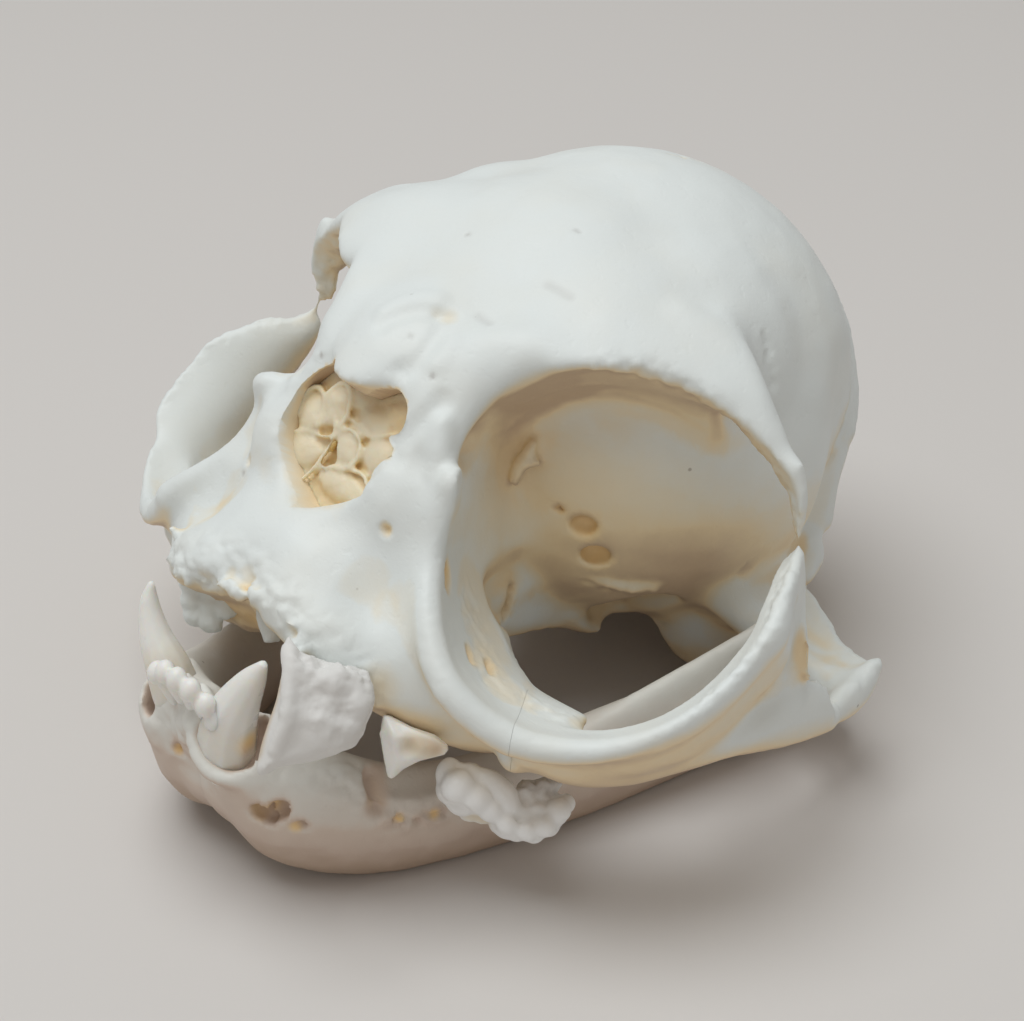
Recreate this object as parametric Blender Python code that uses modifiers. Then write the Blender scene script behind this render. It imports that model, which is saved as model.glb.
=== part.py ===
"""Life-size skull of a short-faced domestic cat, resting on its lower jaw.

Lengths are millimetres in the skull's own frame: x to the animal's left, y from the
muzzle to the back of the head, z up from the table. at() turns them into the scene's metres.
"""
import math

import bmesh
import bpy
from mathutils import Euler, Vector

# ---- driving dimensions, mm --------------------------------------------------------
MM = 0.001
MID_LENGTH = 26.64         # y of the middle of the skull's length, over the origin
GAP = 0.3                  # space left between two bones that meet
CLAY = 0.75                # voxel of the modelled bone
SOFTEN = 5                 # smoothing rounds after the bone is joined

BRAINCASE = ((0, 40.8, 26.0), (21.2, 20.4, 20.6))
ORBIT_APEX = (9.5, 29.0, 17.5)
APERTURE_DEPTH = 11.0
NOSE_FOOT = (0, 5.45, 28.5)                 # lowest point of the nose's opening
NOSE_SLOPE = (0.84, 0.544)                  # rise and run of the slope that it lies in
NOSE_EDGE = [(0, 28.4), (2.5, 29.5), (4.6, 30.9), (5.5, 32.8), (5.7, 34.4), (5.8, 36.2),
             (5.0, 37.8), (3.4, 38.3), (1.8, 37.4), (0, 37.2)]    # its left half, across and up

# Edge of the left orbit, from the tear-duct knob down, out and round to the tip of the
# cheekbone, then from the tip of the brow back over the top
RIM_LOWER = [(11.9, 10.6, 32.7), (12.4, 8.6, 28.4), (15.3, 5.6, 25.2), (18.8, 4.3, 22.2),
             (23.1, 6.2, 19.2), (28.0, 9.5, 18.9), (31.9, 13.4, 20.8), (33.4, 18.6, 23.6),
             (32.8, 23.2, 26.4), (28.9, 30.4, 26.4)]
RIM_UPPER = [(28.1, 31.3, 26.4), (26.3, 31.3, 31.2), (22.4, 28.5, 37.0), (17.3, 24.3, 40.0),
             (12.8, 20.3, 39.8), (9.7, 16.3, 37.1), (10.3, 13.0, 34.2)]

RIM_INSET = Vector((-0.42, 0.48, -1.1))     # from the rim's edge to the middle of its bone

# Planes where two bones meet: a point on the plane and its normal, for the left side
FRONT_SUTURE = ((22.2, 6.4, 18.6), (0.80, 0.58, -0.12))
REAR_SUTURE = ((31, 33.4, 10), (0.0, 0.95, 0.31))
MIDLINE = ((0, 0, 8), (1, 0, 0))
TABLE = ((0, 30, -GAP / 2), (0, 0, 1))

TRIANGLES = {"cranium": 4150, "zygomatic": 560, "mandible": 1050, "tooth": 130, "turbinates": 260}
SIDE_NAME = {1: "left", -1: "right"}
BLOCK = {FRONT_SUTURE: (9, 22, 24), REAR_SUTURE: (7, 12, 18), MIDLINE: (12, 40, 50), TABLE: (6, 90, 90)}

BONE = (0.80, 0.80, 0.76)
ENAMEL = (0.84, 0.83, 0.78)
INNER_BONE = (0.72, 0.60, 0.40)

COLLECTION = "cat_skull"
CUTTERS = "cutters"


# ---- small helpers -----------------------------------------------------------------
def at(point, side=1):
    """Scene position of a point given in millimetres; side -1 gives its mirror image."""
    x, y, z = point
    return Vector((side * x, y - MID_LENGTH, z)) * MM


def clear_scene():
    for item in list(bpy.data.objects):
        bpy.data.objects.remove(item, do_unlink=True)


def collection(name):
    found = bpy.data.collections.get(name)
    if found is None:
        found = bpy.data.collections.new(name)
        bpy.context.scene.collection.children.link(found)
    return found


def material(name, colour, roughness):
    made = bpy.data.materials.new(name)
    made.use_nodes = True
    shader = made.node_tree.nodes["Principled BSDF"]
    shader.inputs["Base Color"].default_value = (*colour, 1)
    shader.inputs["Roughness"].default_value = roughness
    shader.inputs["Metallic"].default_value = 0.0
    return made


def mesh_object(name, mesh):
    made = bpy.data.objects.new(name, mesh)
    collection(COLLECTION).objects.link(made)
    return made


def from_bmesh(name, work):
    work.normal_update()
    bmesh.ops.recalc_face_normals(work, faces=work.faces)
    mesh = bpy.data.meshes.new(name)
    work.to_mesh(mesh)
    work.free()
    return mesh_object(name, mesh)


def bake(item):
    """Replace an object's mesh by what its modifiers make of it."""
    bpy.context.view_layer.update()
    graph = bpy.context.evaluated_depsgraph_get()
    mesh = bpy.data.meshes.new_from_object(item.evaluated_get(graph))
    item.modifiers.clear()
    item.data = mesh
    return item


def smooth_path(points, steps):
    """Catmull-Rom curve through the points, with steps pieces in each span."""
    points = [Vector(p) for p in points]
    ends = [2 * points[0] - points[1]] + points + [2 * points[-1] - points[-2]]
    path = []
    for a, b, c, d in zip(ends, ends[1:], ends[2:], ends[3:]):
        for k in range(steps):
            t = k / steps
            path.append(0.5 * ((2 * b) + (c - a) * t + (2 * a - 5 * b + 4 * c - d) * t * t
                               + (3 * b - a - 3 * c + d) * t ** 3))
    return path + [points[-1]]


def evenly(values, count):
    """The list of values read at count even steps from first to last."""
    out = []
    for k in range(count):
        f = k * (len(values) - 1) / (count - 1)
        i = min(int(f), len(values) - 2)
        out.append(values[i] + (values[i + 1] - values[i]) * (f - i))
    return out


# ---- basic solids ------------------------------------------------------------------
def ball(centre, radii, turn=(0, 0, 0), side=1):
    """Ellipsoid; turn is in degrees about x, y and z."""
    work = bmesh.new()
    bmesh.ops.create_icosphere(work, subdivisions=4, radius=1.0)
    spin = Euler([math.radians(a) for a in turn]).to_matrix()
    for v in work.verts:
        local = spin @ Vector([c * r for c, r in zip(v.co, radii)])
        v.co = at(local + Vector(centre), side)
    return from_bmesh("ball", work)


def loft(rings, side=1):
    """Solid skinned over a stack of rings that have equal numbers of points."""
    work = bmesh.new()
    rows = [[work.verts.new(at(p, side)) for p in ring] for ring in rings]
    count = len(rows[0])
    for low, high in zip(rows, rows[1:]):
        for i in range(count):
            j = (i + 1) % count
            work.faces.new((low[i], low[j], high[j], high[i]))
    work.faces.new(list(reversed(rows[0])))
    work.faces.new(rows[-1])
    return from_bmesh("loft", work)


def tube(points, radii, side=1, steps=6, flat=1.0, up=(0, 0, 1)):
    """Rod along a curve with a radius at each point; flat is its width over its height."""
    path = smooth_path(points, steps)
    sizes = evenly(radii, len(path))
    rings = []
    for i, (centre, size) in enumerate(zip(path, sizes)):
        along = (path[min(i + 1, len(path) - 1)] - path[max(i - 1, 0)]).normalized()
        across = along.cross(Vector(up)).normalized()
        over = across.cross(along)
        ring = []
        for k in range(12):
            a = math.tau * k / 12
            ring.append(centre + across * (math.cos(a) * size * flat) + over * (math.sin(a) * size))
        rings.append(ring)
    return loft(rings, side)


def plate(edge_a, edge_b, thick, side=1, steps=6):
    """Curved plate between two edges; thick is a list of thicknesses along its length."""
    count = steps * (max(len(edge_a), len(edge_b)) - 1) + 1
    first = evenly(smooth_path(edge_a, steps), count)
    second = evenly(smooth_path(edge_b, steps), count)
    sizes = evenly(thick, count)
    rings = []
    for i in range(count):
        low, high = max(i - 1, 0), min(i + 1, count - 1)
        along = (first[high] + second[high] - first[low] - second[low]).normalized()
        span = second[i] - first[i]
        normal = span.cross(along).normalized()
        centre = (first[i] + second[i]) / 2
        ring = []
        for k in range(14):
            a = math.tau * k / 14
            ring.append(centre - span / 2 * math.cos(a) + normal * (sizes[i] / 2 * math.sin(a)))
        rings.append(ring)
    return loft(rings, side)


# ---- joining and cutting -----------------------------------------------------------
def join(name, pieces):
    """One object that holds the pieces' meshes."""
    work = bmesh.new()
    for piece in pieces:
        work.from_mesh(piece.data)
        bpy.data.objects.remove(piece, do_unlink=True)
    mesh = bpy.data.meshes.new(name)
    work.to_mesh(mesh)
    work.free()
    return mesh_object(name, mesh)


def clay(name, pieces, voxel=CLAY, soften=SOFTEN):
    """Melt overlapping solids into one bone and soften the seams between them."""
    item = join(name, pieces)
    remesh = item.modifiers.new("melt", "REMESH")
    remesh.mode = "VOXEL"
    remesh.voxel_size = voxel * MM
    soft = item.modifiers.new("soften", "SMOOTH")
    soft.factor = 0.5
    soft.iterations = soften
    return bake(item)


def cut(item, cutter):
    """Take the cutter's volume away from the item."""
    cutter.hide_render = True
    cutter.display_type = "WIRE"
    collection(COLLECTION).objects.unlink(cutter)
    collection(CUTTERS).objects.link(cutter)
    boolean = item.modifiers.new("cut", "BOOLEAN")
    boolean.operation = "DIFFERENCE"
    boolean.solver = "EXACT"
    boolean.object = cutter
    bake(item)
    bpy.data.objects.remove(cutter, do_unlink=True)
    return item


def beyond(plane, way, side):
    """Block that fills the space past a plane, on the side its normal points to or from."""
    point, normal = Vector(plane[0]), Vector(plane[1]).normalized()
    sizes = BLOCK[plane]
    work = bmesh.new()
    bmesh.ops.create_cube(work, size=1.0)
    turn = normal.to_track_quat("X", "Z")
    centre = point + normal * way * (sizes[0] - GAP) / 2
    for v in work.verts:
        local = turn @ Vector([c * s for c, s in zip(v.co, sizes)])
        v.co = at(local + centre, side)
    return from_bmesh("block", work)


def socket(bone, item):
    """Hollow the bone where the item stands in it, with a gap all round it."""
    cutter = item.copy()
    cutter.data = item.data.copy()
    collection(COLLECTION).objects.link(cutter)
    swell = cutter.modifiers.new("swell", "DISPLACE")
    swell.strength = GAP * MM
    swell.mid_level = 0.0
    return cut(bone, bake(cutter))


def thin_out(item, triangles):
    """Decimate the item to about this many triangles."""
    item.data.calc_loop_triangles()
    reduce = item.modifiers.new("reduce", "DECIMATE")
    reduce.ratio = min(1.0, triangles / len(item.data.loop_triangles))
    return bake(item)


def largest_body(item):
    """Keep the biggest connected body and drop any loose crumbs."""
    work = bmesh.new()
    work.from_mesh(item.data)
    left, bodies = set(work.verts), []
    while left:
        seed = left.pop()
        body, edge = {seed}, [seed]
        while edge:
            for link in edge.pop().link_edges:
                for v in link.verts:
                    if v not in body:
                        body.add(v)
                        edge.append(v)
        left -= body
        bodies.append(body)
    keep = max(bodies, key=len)
    bmesh.ops.delete(work, geom=[v for v in work.verts if v not in keep], context="VERTS")
    work.to_mesh(item.data)
    work.free()
    return item


def finish(item, name, surface):
    """Name the finished piece and give it its surface."""
    item.name = name
    item.data.name = name
    item.data.materials.clear()
    item.data.materials.append(surface)
    item.data.shade_smooth()
    item.data.set_sharp_from_angle(angle=math.radians(50))
    return item


# ---- the orbit ---------------------------------------------------------------------
def orbit_rim(steps=3):
    """Closed loop of points round the left orbit."""
    return smooth_path(RIM_LOWER, steps) + smooth_path(RIM_UPPER, steps)


def orbit_cutter(side):
    """Bowl from outside the rim down to the orbit's apex."""
    rim = orbit_rim()
    centre = sum(rim, Vector()) / len(rim)
    depth = Vector(ORBIT_APEX) - centre
    rings = []
    for step in (-0.55, -0.3, -0.1, 0.0, 0.15, 0.3, 0.45, 0.6, 0.72, 0.83, 0.92, 0.98):
        spread = 1 - 0.35 * step if step < 0 else (1 - step ** 1.9) ** 0.75
        rings.append([centre + depth * step + (p - centre) * spread for p in rim])
    return loft(rings, side)


# ---- cranium -----------------------------------------------------------------------
def face_pieces():
    """Solid muzzle, brow and palate, before the orbits are hollowed out."""
    pieces = [
        ball((0, 33, 30), (18, 16, 17.0)),                  # frontal dome
        ball((0, 22, 34), (10.5, 10, 9.5)),                 # glabella
        ball((0, 17, 26), (10, 11, 9)),                     # between the orbits
        tube([(0, 22, 37), (0, 16.5, 37.5), (0, 11.5, 33.5), (0, 9, 29)], [7, 5.6, 5.2, 6]),
        ball((0, 3.8, 25.2), (8.5, 5.2, 4), (28, 0, 0)),    # premaxilla
    ]
    for side in (1, -1):
        pieces += [
            ball((8.5, 29.5, 33), (12, 11.5, 12), side=side),            # brow
            ball((8.5, 37, 33), (12, 12, 11.6), side=side),              # behind the brow
            ball((7.4, 11.6, 27.5), (5, 5.5, 7.5), (30, 0, -25), side=side),  # maxilla beside the nose
            ball((12, 9.0, 19.5), (7.5, 7.0, 7), (0, 20, 25), side=side),  # maxilla over the cheek teeth
            tube([(2, -0.6, 24.6), (7.4, 0.4, 22.6), (12.2, 3.6, 18.4), (16.2, 8, 14.8), (19, 12.6, 12.6)],
                 [2.4, 3.1, 3.0, 2.8, 2.0], side),                       # tooth-bearing edge
            plate([(10.4, 9.6, 31), (12.6, 7.9, 27.4), (16, 5.9, 24.4), (20, 5.0, 21.8), (24.0, 6.8, 19.0)],
                  [(7.4, 7, 24), (10.4, 6.5, 21), (13.8, 7, 18), (17.8, 9, 15.5), (21.8, 11.5, 13.4)],
                  [5, 5, 5, 4.4, 3.2], side),                            # cheek plate under the rim
        ]
    return pieces


def brow_plate(side):
    """Brow edge of the orbit with the spike that points down to the cheekbone."""
    inner = [(7.5, 23.5, 38), (11.5, 30, 40.4), (16.4, 34.4, 40.2), (21.8, 34.2, 37.4),
             (26.2, 32.6, 32.6), (28.7, 31.4, 26.0)]
    rim = [(9.9, 18.0, 37.6), (12.8, 21.6, 39.0), (17.4, 25.4, 38.9), (23.0, 27.8, 37.3),
           (27.3, 29.2, 32.7), (28.7, 30.6, 26.0)]
    return plate(inner, rim, [4, 4.4, 4.0, 3.2, 2.4, 1.8], side)


def brow_wing(side):
    """Broad process of the brow that ends behind the tip of the cheekbone."""
    rim = [(16.2, 25.6, 40.2), (21.4, 29.2, 37.8), (25.6, 31.4, 32.4), (28.0, 31.3, 26.9)]
    border = [(16.4, 36.6, 40.6), (21.6, 33.7, 38.4), (26.9, 31.3, 34.9), (28.6, 31.2, 30.5),
              (28.2, 31.3, 26.9)]
    edge = [(27.9, 31.0, 34.0), (28.6, 30.9, 30.8), (28.2, 31.0, 27.2)]
    return [plate(rim, border, [4.6, 3.2, 2.4, 2.0, 1.4], side), tube(edge, [1.0, 1.0, 0.9], side)]


def eye_rim(side):
    """Raised edge round the lower half of the orbit's mouth, with the tear duct's knob."""
    rim = orbit_rim()
    centre = sum(rim, Vector()) / len(rim)
    path = [Vector(p) for p in RIM_LOWER[:6]]
    sizes = [1.0, 1.1, 1.2, 1.35, 1.35, 1.1]
    band = [p + (p - centre).normalized() * r for p, r in zip(path, sizes)]
    brow = [Vector(p) + (Vector(p) - centre).normalized() * 0.9 for p in RIM_UPPER[1:5]]
    return [
        ball((11.4, 10.4, 33.3), (1.2, 1.2, 1.7), side=side),
        tube(band, sizes, side),
        tube(brow, [1.0, 1.0, 1.0, 1.0], side),
    ]


def face_slope(side):
    """Bone between the bridge of the nose and the inner edge of the orbit."""
    edge = [(10.2, 12.0, 33.6), (9.7, 13.8, 35.4), (9.7, 16.2, 37.2), (11.0, 18.8, 38.9), (13.4, 21.4, 39.8)]
    bridge = [(6.4, 10.4, 35.0), (4.2, 12.4, 38.4), (4.0, 15.2, 40.4), (6.0, 19.0, 41.8), (9.6, 22.4, 42.6)]
    return plate(edge, bridge, [2.8, 3.2, 3.4, 3.2, 2.8], side)


def nose_slab():
    """Flat slope of the face that the nose opens in."""
    loop = [(0, 27.6), (3.6, 28.8), (6.2, 31.0), (7.2, 34.0), (6.6, 37.2), (4.2, 38.8), (0, 38.6)]
    loop += [(-x, z) for x, z in reversed(loop[1:-1])]
    return loft([[nose_place(x, z, depth) for x, z in loop] for depth in (0.0, 3.0, 6.0)])


def nose_place(x, z, depth):
    """Point on the flat slope that the nose opens in, or so deep behind it."""
    rise, run = NOSE_SLOPE
    return Vector((x, NOSE_FOOT[1] + (z - NOSE_FOOT[2]) * run / rise + depth * rise, z - depth * run))


def orbit_floor(side):
    """Thin floor of the orbit, from its lower rim back to the gap above the lower jaw."""
    front = [(10.6, 12.6, 20.4), (13.6, 10.2, 19.6), (17.0, 8.8, 18.6), (20.6, 8.8, 17.6), (24.4, 10.6, 16.8)]
    rear = [(7.9, 19.4, 13.2), (11.0, 16.9, 13.2), (14.4, 15.3, 13.6), (18.0, 14.9, 14.1), (22.0, 14.8, 14.4)]
    return plate(front, rear, [2.2, 2.0, 2.0, 2.0, 2.0], side)


def palate_front():
    """Ragged front of the palate, over the lower jaw's front teeth."""
    top = [(-11.0, 1.2, 19.4), (-7.4, 0.6, 20.4), (-3.4, 0.4, 21.4), (0.4, 0.2, 22.6),
           (4.4, 0.2, 23.4), (7.2, 0.4, 22.8)]
    foot = [(-12.2, 2.8, 15.0), (-8.6, 2.6, 15.4), (-5.2, 2.4, 16.0), (-2.0, 2.0, 17.2),
            (2.4, 1.0, 19.6), (6.4, 0.8, 20.6)]
    return plate(top, foot, [2.4, 2.2, 2.2, 2.2, 2.2, 2.2])


def arch_shelf(side):
    """Hollow shelf of the cheek arch's root with its curled outer rim."""
    rear = [(20.0, 43.6, 9.6), (22.2, 43.2, 9.0), (26.0, 42.8, 9.4), (29.0, 41.6, 10.2), (30.6, 40.4, 11.2)]
    front = [(22.0, 38.6, 7.2), (24.6, 38.2, 6.6), (27.6, 37.6, 7.2), (29.6, 36.4, 8.2), (30.6, 34.8, 9.6)]
    wall_top = [(30.7, 40.6, 11.1), (30.6, 38.6, 10.0), (30.9, 35.6, 9.8), (31.4, 32.0, 11.5)]
    wall_foot = [(30.7, 40.0, 8.7), (30.0, 38.2, 7.0), (30.3, 34.8, 7.8), (31.0, 30.4, 9.6)]
    return [
        plate(rear, front, [2.2, 2.2, 2.0, 2.0, 1.8], side),
        plate(wall_top, wall_foot, [1.9, 1.9, 2.0, 2.2], side),
        tube([(30.6, 41.0, 11.2), (30.4, 39.2, 10.8), (30.3, 37.6, 9.8), (31.0, 35.0, 9.8)],
             [0.9, 1.0, 1.0, 1.0], side),
    ]


def base_pieces():
    """Underside: sphenoid bar, bullae, condyles, wings behind the palate, jaw sockets."""
    pieces = [
        tube([(0, 8, 21), (0, 20, 16.5), (0, 34, 14), (0, 48, 9.5), (0, 57, 6.5)],
             [5, 5, 4.5, 5, 4.5], flat=1.5),
        plate([(0, 0, 23.2), (0, 8, 19.6), (0, 16, 15.8), (0, 23, 13.4)],
              [(0, 1, 20.5), (0, 9, 16.8), (0, 17, 13.2), (0, 23.5, 11.5)], [8, 16, 18, 8]),
        ball((0, 53.5, 16), (12.5, 6.5, 11.5), (-14, 0, 0)),
        tube([(0, 46, 45.2), (0, 54, 40.4), (0, 59.6, 33)], [0.9, 1.3, 1.8]),
    ]
    for side in (1, -1):
        pieces += [
            ball((10.6, 45, 7.8), (6.3, 9.2, 8.3), (0, 0, 12), side=side),            # bulla
            tube([(3.0, 55.5, 4.0), (5.4, 58.2, 4.2), (6.2, 59.6, 8.4)], [2.6, 2.7, 2.0], side),  # condyle
            tube([(11.6, 51, 8), (12.0, 51.6, 1.4)], [3, 1.8], side),                 # beside the bulla
            tube([(0, 60.8, 32.6), (5.4, 60.4, 31.4), (10.6, 58.4, 27), (14.2, 55, 20), (15.4, 51, 12.4)],
                 [1.7, 1.6, 1.6, 1.8, 2.2], side),                                    # nuchal crest
            plate([(5.2, 19, 17), (5.8, 25, 15.5), (6.3, 31, 13.5), (6.6, 36, 12)],
                  [(6.2, 18.5, 11.5), (6.4, 24, 9.6), (6.5, 29.5, 8.2), (6.6, 34, 10.2)],
                  [2.4, 1.8, 1.6, 1.6], side),                                        # wing
            tube([(6.4, 29, 9), (6.5, 31, 7.2), (6.9, 32.4, 7.4)], [1.3, 0.9, 0.6], side),  # hook
            plate([(14, 46, 13), (20.6, 44.4, 9.4), (26.6, 42.8, 9.4), (30.6, 40.4, 11), (31.2, 35.2, 12.2)],
                  [(15, 34.6, 14), (21, 35.8, 10.6), (26.2, 36.4, 8.2), (29.8, 35.6, 7.2), (30.4, 33, 7.8)],
                  [6.0, 4.4, 3.4, 3.0, 2.6], side),                                   # root of the arch
            ball((23.6, 41.2, 10.6), (5.6, 3.4, 2.2), (0, 14, -12), side=side),       # roof of the jaw joint
        ]
    return pieces


def aperture_cutter():
    """Heart-shaped opening of the nose, run back square to the slope it lies in."""
    outline = [Vector((x, 0, z)) for x, z in NOSE_EDGE]
    loop = smooth_path(outline, 3)
    loop += [Vector((-p.x, 0, p.z)) for p in reversed(loop[1:-1])]
    middle = sum(loop, Vector()) / len(loop)
    rings = []
    for depth in (-6, 0, 0.5 * APERTURE_DEPTH, 0.85 * APERTURE_DEPTH, APERTURE_DEPTH):
        spread = 1 - 0.45 * max(depth / APERTURE_DEPTH, 0) ** 2
        ring = [middle + (p - middle) * spread for p in loop]
        rings.append([nose_place(p.x, p.z, depth) for p in ring])
    return loft(rings)


def hollow_sides(bone):
    """Dish over the root of each cheek arch, and the gap between the jaw's wing and the bulla."""
    for side in (1, -1):
        cut(bone, ball((26.6, 41.6, 13.6), (6.0, 5.4, 4.3), (0, -12, 0), side=side))
        cut(bone, tube([(7.0, 31.6, 8.6), (11.0, 31.6, 11.6), (14.4, 32.6, 13.4)], [2.4, 2.6, 2.2], side))


def cranium(surface, neighbours):
    face = clay("face", face_pieces())
    for side in (1, -1):
        cut(face, orbit_cutter(side))
    parts = [face, ball(*BRAINCASE)] + base_pieces()
    parts += [brow_plate(side) for side in (1, -1)]
    bone = clay("cranium", parts)
    hollow_sides(bone)
    parts = [bone, nose_slab(), palate_front()]
    for side in (1, -1):
        parts += brow_wing(side) + eye_rim(side) + arch_shelf(side)
        parts += [face_slope(side), orbit_floor(side)]
    bone = clay("cranium", parts, CLAY * 0.8, 3)
    cut(bone, aperture_cutter())
    cut(bone, ball((0, 63.5, 9.8), (6.2, 11, 5.2), (20, 0, 0)))
    bone = clay("cranium", [bone], CLAY * 0.8, 1)
    largest_body(bone)
    thin_out(bone, TRIANGLES["cranium"])
    for side in (1, -1):
        cut(bone, beyond(FRONT_SUTURE, 1, side))
        cut(bone, beyond(REAR_SUTURE, -1, side))
    cut(bone, beyond(TABLE, -1, 1))
    for item in neighbours:
        socket(bone, item)
    return finish(bone, "cranium", surface)


def turbinates(surface):
    """Scrolls of thin bone inside the nose, either side of the septum."""
    septum = plate([(0, 8.4, 28.6), (0, 11.6, 32), (0, 13.4, 36)],
                   [(0, 12, 26.6), (0, 15, 29.6), (0, 17, 33)], [1.2, 1.2, 1.2])
    pieces = [septum]
    for side in (1, -1):
        pieces += [
            ball((2.5, 10.6, 30.6), (2.1, 3.4, 2.0), (30, 0, 0), side=side),
            ball((2.6, 12.6, 34.2), (2.3, 3.6, 1.8), (30, 0, 0), side=side),
        ]
    made = clay("turbinates", pieces, 0.45, 2)
    largest_body(made)
    thin_out(made, TRIANGLES["turbinates"])
    return finish(made, "turbinates", surface)


# ---- cheekbones --------------------------------------------------------------------
def zygomatic(side, surface):
    """Cheekbone: rim of the orbit, its inner dish, the spike and the bar of the arch."""
    rim = [Vector(p) + RIM_INSET for p in RIM_LOWER[3:]]
    dish = [(19.6, 8.5, 15.4), (23.6, 10.6, 13.8), (26.6, 14.2, 12.8), (28.8, 19, 13.2),
            (29.6, 24.6, 15.6), (29.6, 29.2, 19.5), (28.9, 31.0, 25.2)]
    bar_top = [(27.6, 16, 15.5), (30.8, 24, 15.4), (31.4, 30, 15.4), (31.4, 36, 12.4)]
    bar_low = [(25.2, 14.4, 10.6), (29.2, 20.4, 11.4), (30.8, 27.4, 9.4), (31.0, 36, 7.2)]
    pieces = [
        plate(rim, dish, [3.0, 3.2, 3.2, 3.0, 2.8, 1.6], side),
        tube(rim, [1.5, 1.6, 1.6, 1.6, 1.5, 1.2], side),
        plate(bar_top, bar_low, [3.4, 3.2, 2.8, 2.6], side),
        plate([(20.4, 6.2, 20), (24.6, 8.0, 17.6), (27.6, 13.0, 16.4), (30.0, 19, 16.8)],
              [(17.8, 9.4, 14), (22.4, 11.4, 11.4), (25.2, 15, 10.2), (28.6, 21, 10.4)],
              [4.4, 3.6, 3.2, 3], side),
        tube([(28.9, 30.6, 24.6), (30.0, 30.4, 20.6), (30.9, 29.8, 16.4)], [0.8, 1.3, 1.8], side),
        ball((30.1, 26.6, 17.0), (1.5, 3.6, 3.2), side=side),
    ]
    bone = clay("zygomatic", pieces, CLAY * 0.8, 3)
    thin_out(bone, TRIANGLES["zygomatic"])
    cut(bone, beyond(FRONT_SUTURE, -1, side))
    cut(bone, beyond(REAR_SUTURE, 1, side))
    largest_body(bone)
    return finish(bone, "zygomatic_" + SIDE_NAME[side], surface)


# ---- lower jaw ---------------------------------------------------------------------
def mandible(side, surface, teeth):
    """Half of the lower jaw, from the chin to its joint."""
    top = [(-1, -5.6, 16.6), (2.0, -6.0, 16.6), (4.9, -5.6, 15.4), (8.6, -2.6, 14.2), (11.8, 2.4, 11.2),
           (14.2, 9.0, 9.8), (17.0, 16.4, 10.4), (19.6, 24, 11.0), (22.2, 31.5, 9.6), (24, 38, 7.6)]
    low = [(-1, -2.8, 3.0), (1.8, -2.8, 2.6), (5.2, -2.4, 0.8), (9.2, 1.2, -0.4), (12.4, 6.4, -0.5),
           (15.0, 12.8, -0.5), (17.2, 19.8, -0.5), (18.8, 27, -0.5), (20.0, 33.5, -0.4), (21.0, 38, 0.8)]
    pieces = [
        plate(top, low, [5.6, 6.2, 7.6, 6.4, 5.4, 5.0, 4.6, 4.0, 3.4, 3.0], side),
        ball((4.9, -5.6, 12.4), (3.4, 3.0, 4.6), (-8, 12, 0), side=side),           # canine's collar
        plate([(17.6, 15.6, 9.6), (19.8, 20.5, 12.2), (22.6, 28.6, 15.0), (24.6, 34.6, 17.0)],
              [(19.8, 22, 4), (22.0, 29.0, 5), (23.6, 34, 6), (24.6, 37.6, 10.5)],
              [3.2, 2.8, 2.4, 1.8], side),
        tube([(22.6, 36, 5.4), (23.4, 40.4, 5.6), (23.6, 42.8, 5.2)], [2.4, 2.0, 1.7], side),
        ball((23.4, 42.8, 5.0), (4.6, 1.6, 1.6), (0, 14, -10), side=side),          # joint
        tube([(20.8, 33, 2.4), (21.2, 38.4, 2.2), (21.6, 40.6, 3.2)], [2.2, 1.8, 0.8], side),
    ]
    pieces += [ball((x, y, z), (0.85, 0.8, 1.7), (-18, 0, 0), side=side)
               for x, y, z in ((0.8, -7.0, 17.6), (2.2, -7.4, 17.2))]  # incisors
    bone = clay("mandible", pieces, CLAY, 3)
    thin_out(bone, TRIANGLES["mandible"])
    cut(bone, beyond(MIDLINE, -1, side))
    cut(bone, beyond(TABLE, -1, side))
    largest_body(bone)
    for tooth in teeth:
        socket(bone, tooth)
    return finish(bone, "mandible_" + SIDE_NAME[side], surface)


# ---- teeth -------------------------------------------------------------------------
def tooth(name, pieces, surface, voxel=0.45):
    """Crown and root melted from a few solids."""
    made = clay(name, pieces, voxel, 2)
    largest_body(made)
    thin_out(made, TRIANGLES["tooth"])
    return finish(made, name, surface)


def lower_canine(side, surface):
    path = [(4.9, -4.6, 10.6), (4.8, -5.9, 13.2), (4.9, -6.6, 16.0), (5.9, -6.4, 19.4), (7.4, -5.2, 23.4)]
    crown = tube(path, [1.7, 2.1, 2.3, 1.8, 0.35], side)
    return tooth("canine_lower_" + SIDE_NAME[side], [crown], surface)


def upper_canine(side, surface):
    """Upper canine, slipped in its socket and thick with tartar."""
    pieces = [
        ball((12.4, -3.4, 19.8), (3.3, 3.9, 4.3), (20, 0, -30), side=side),
        tube([(12.4, -4.6, 18.6), (12.6, -6.8, 16.2), (12.3, -8.4, 14.6)], [2.5, 1.5, 0.4], side),
        tube([(11.6, -3.6, 22.4), (10.4, -4.4, 25.6)], [1.4, 0.5], side),
    ]
    return tooth("canine_upper_" + SIDE_NAME[side], pieces, surface)


def upper_premolar(side, surface):
    """Small premolar; the right one is a stump."""
    if side < 0:
        stump = [ball((13.6, 3.4, 16.6), (1.2, 1.3, 1.6), side=side),
                 ball((13.6, 4.0, 17.6), (1.4, 1.4, 1.4), side=side)]
        return tooth("premolar_upper_" + SIDE_NAME[side], stump, surface)
    pieces = [
        plate([(14.2, 0.6, 19.0), (15.2, 2.0, 17.4), (16.3, 3.6, 16.2)],
              [(14.5, 0.0, 13.0), (15.1, 0.9, 13.2), (15.9, 1.8, 14.0)], [2.2, 2.4, 2.0], side),
    ]
    return tooth("premolar_upper_" + SIDE_NAME[side], pieces, surface)


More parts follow.
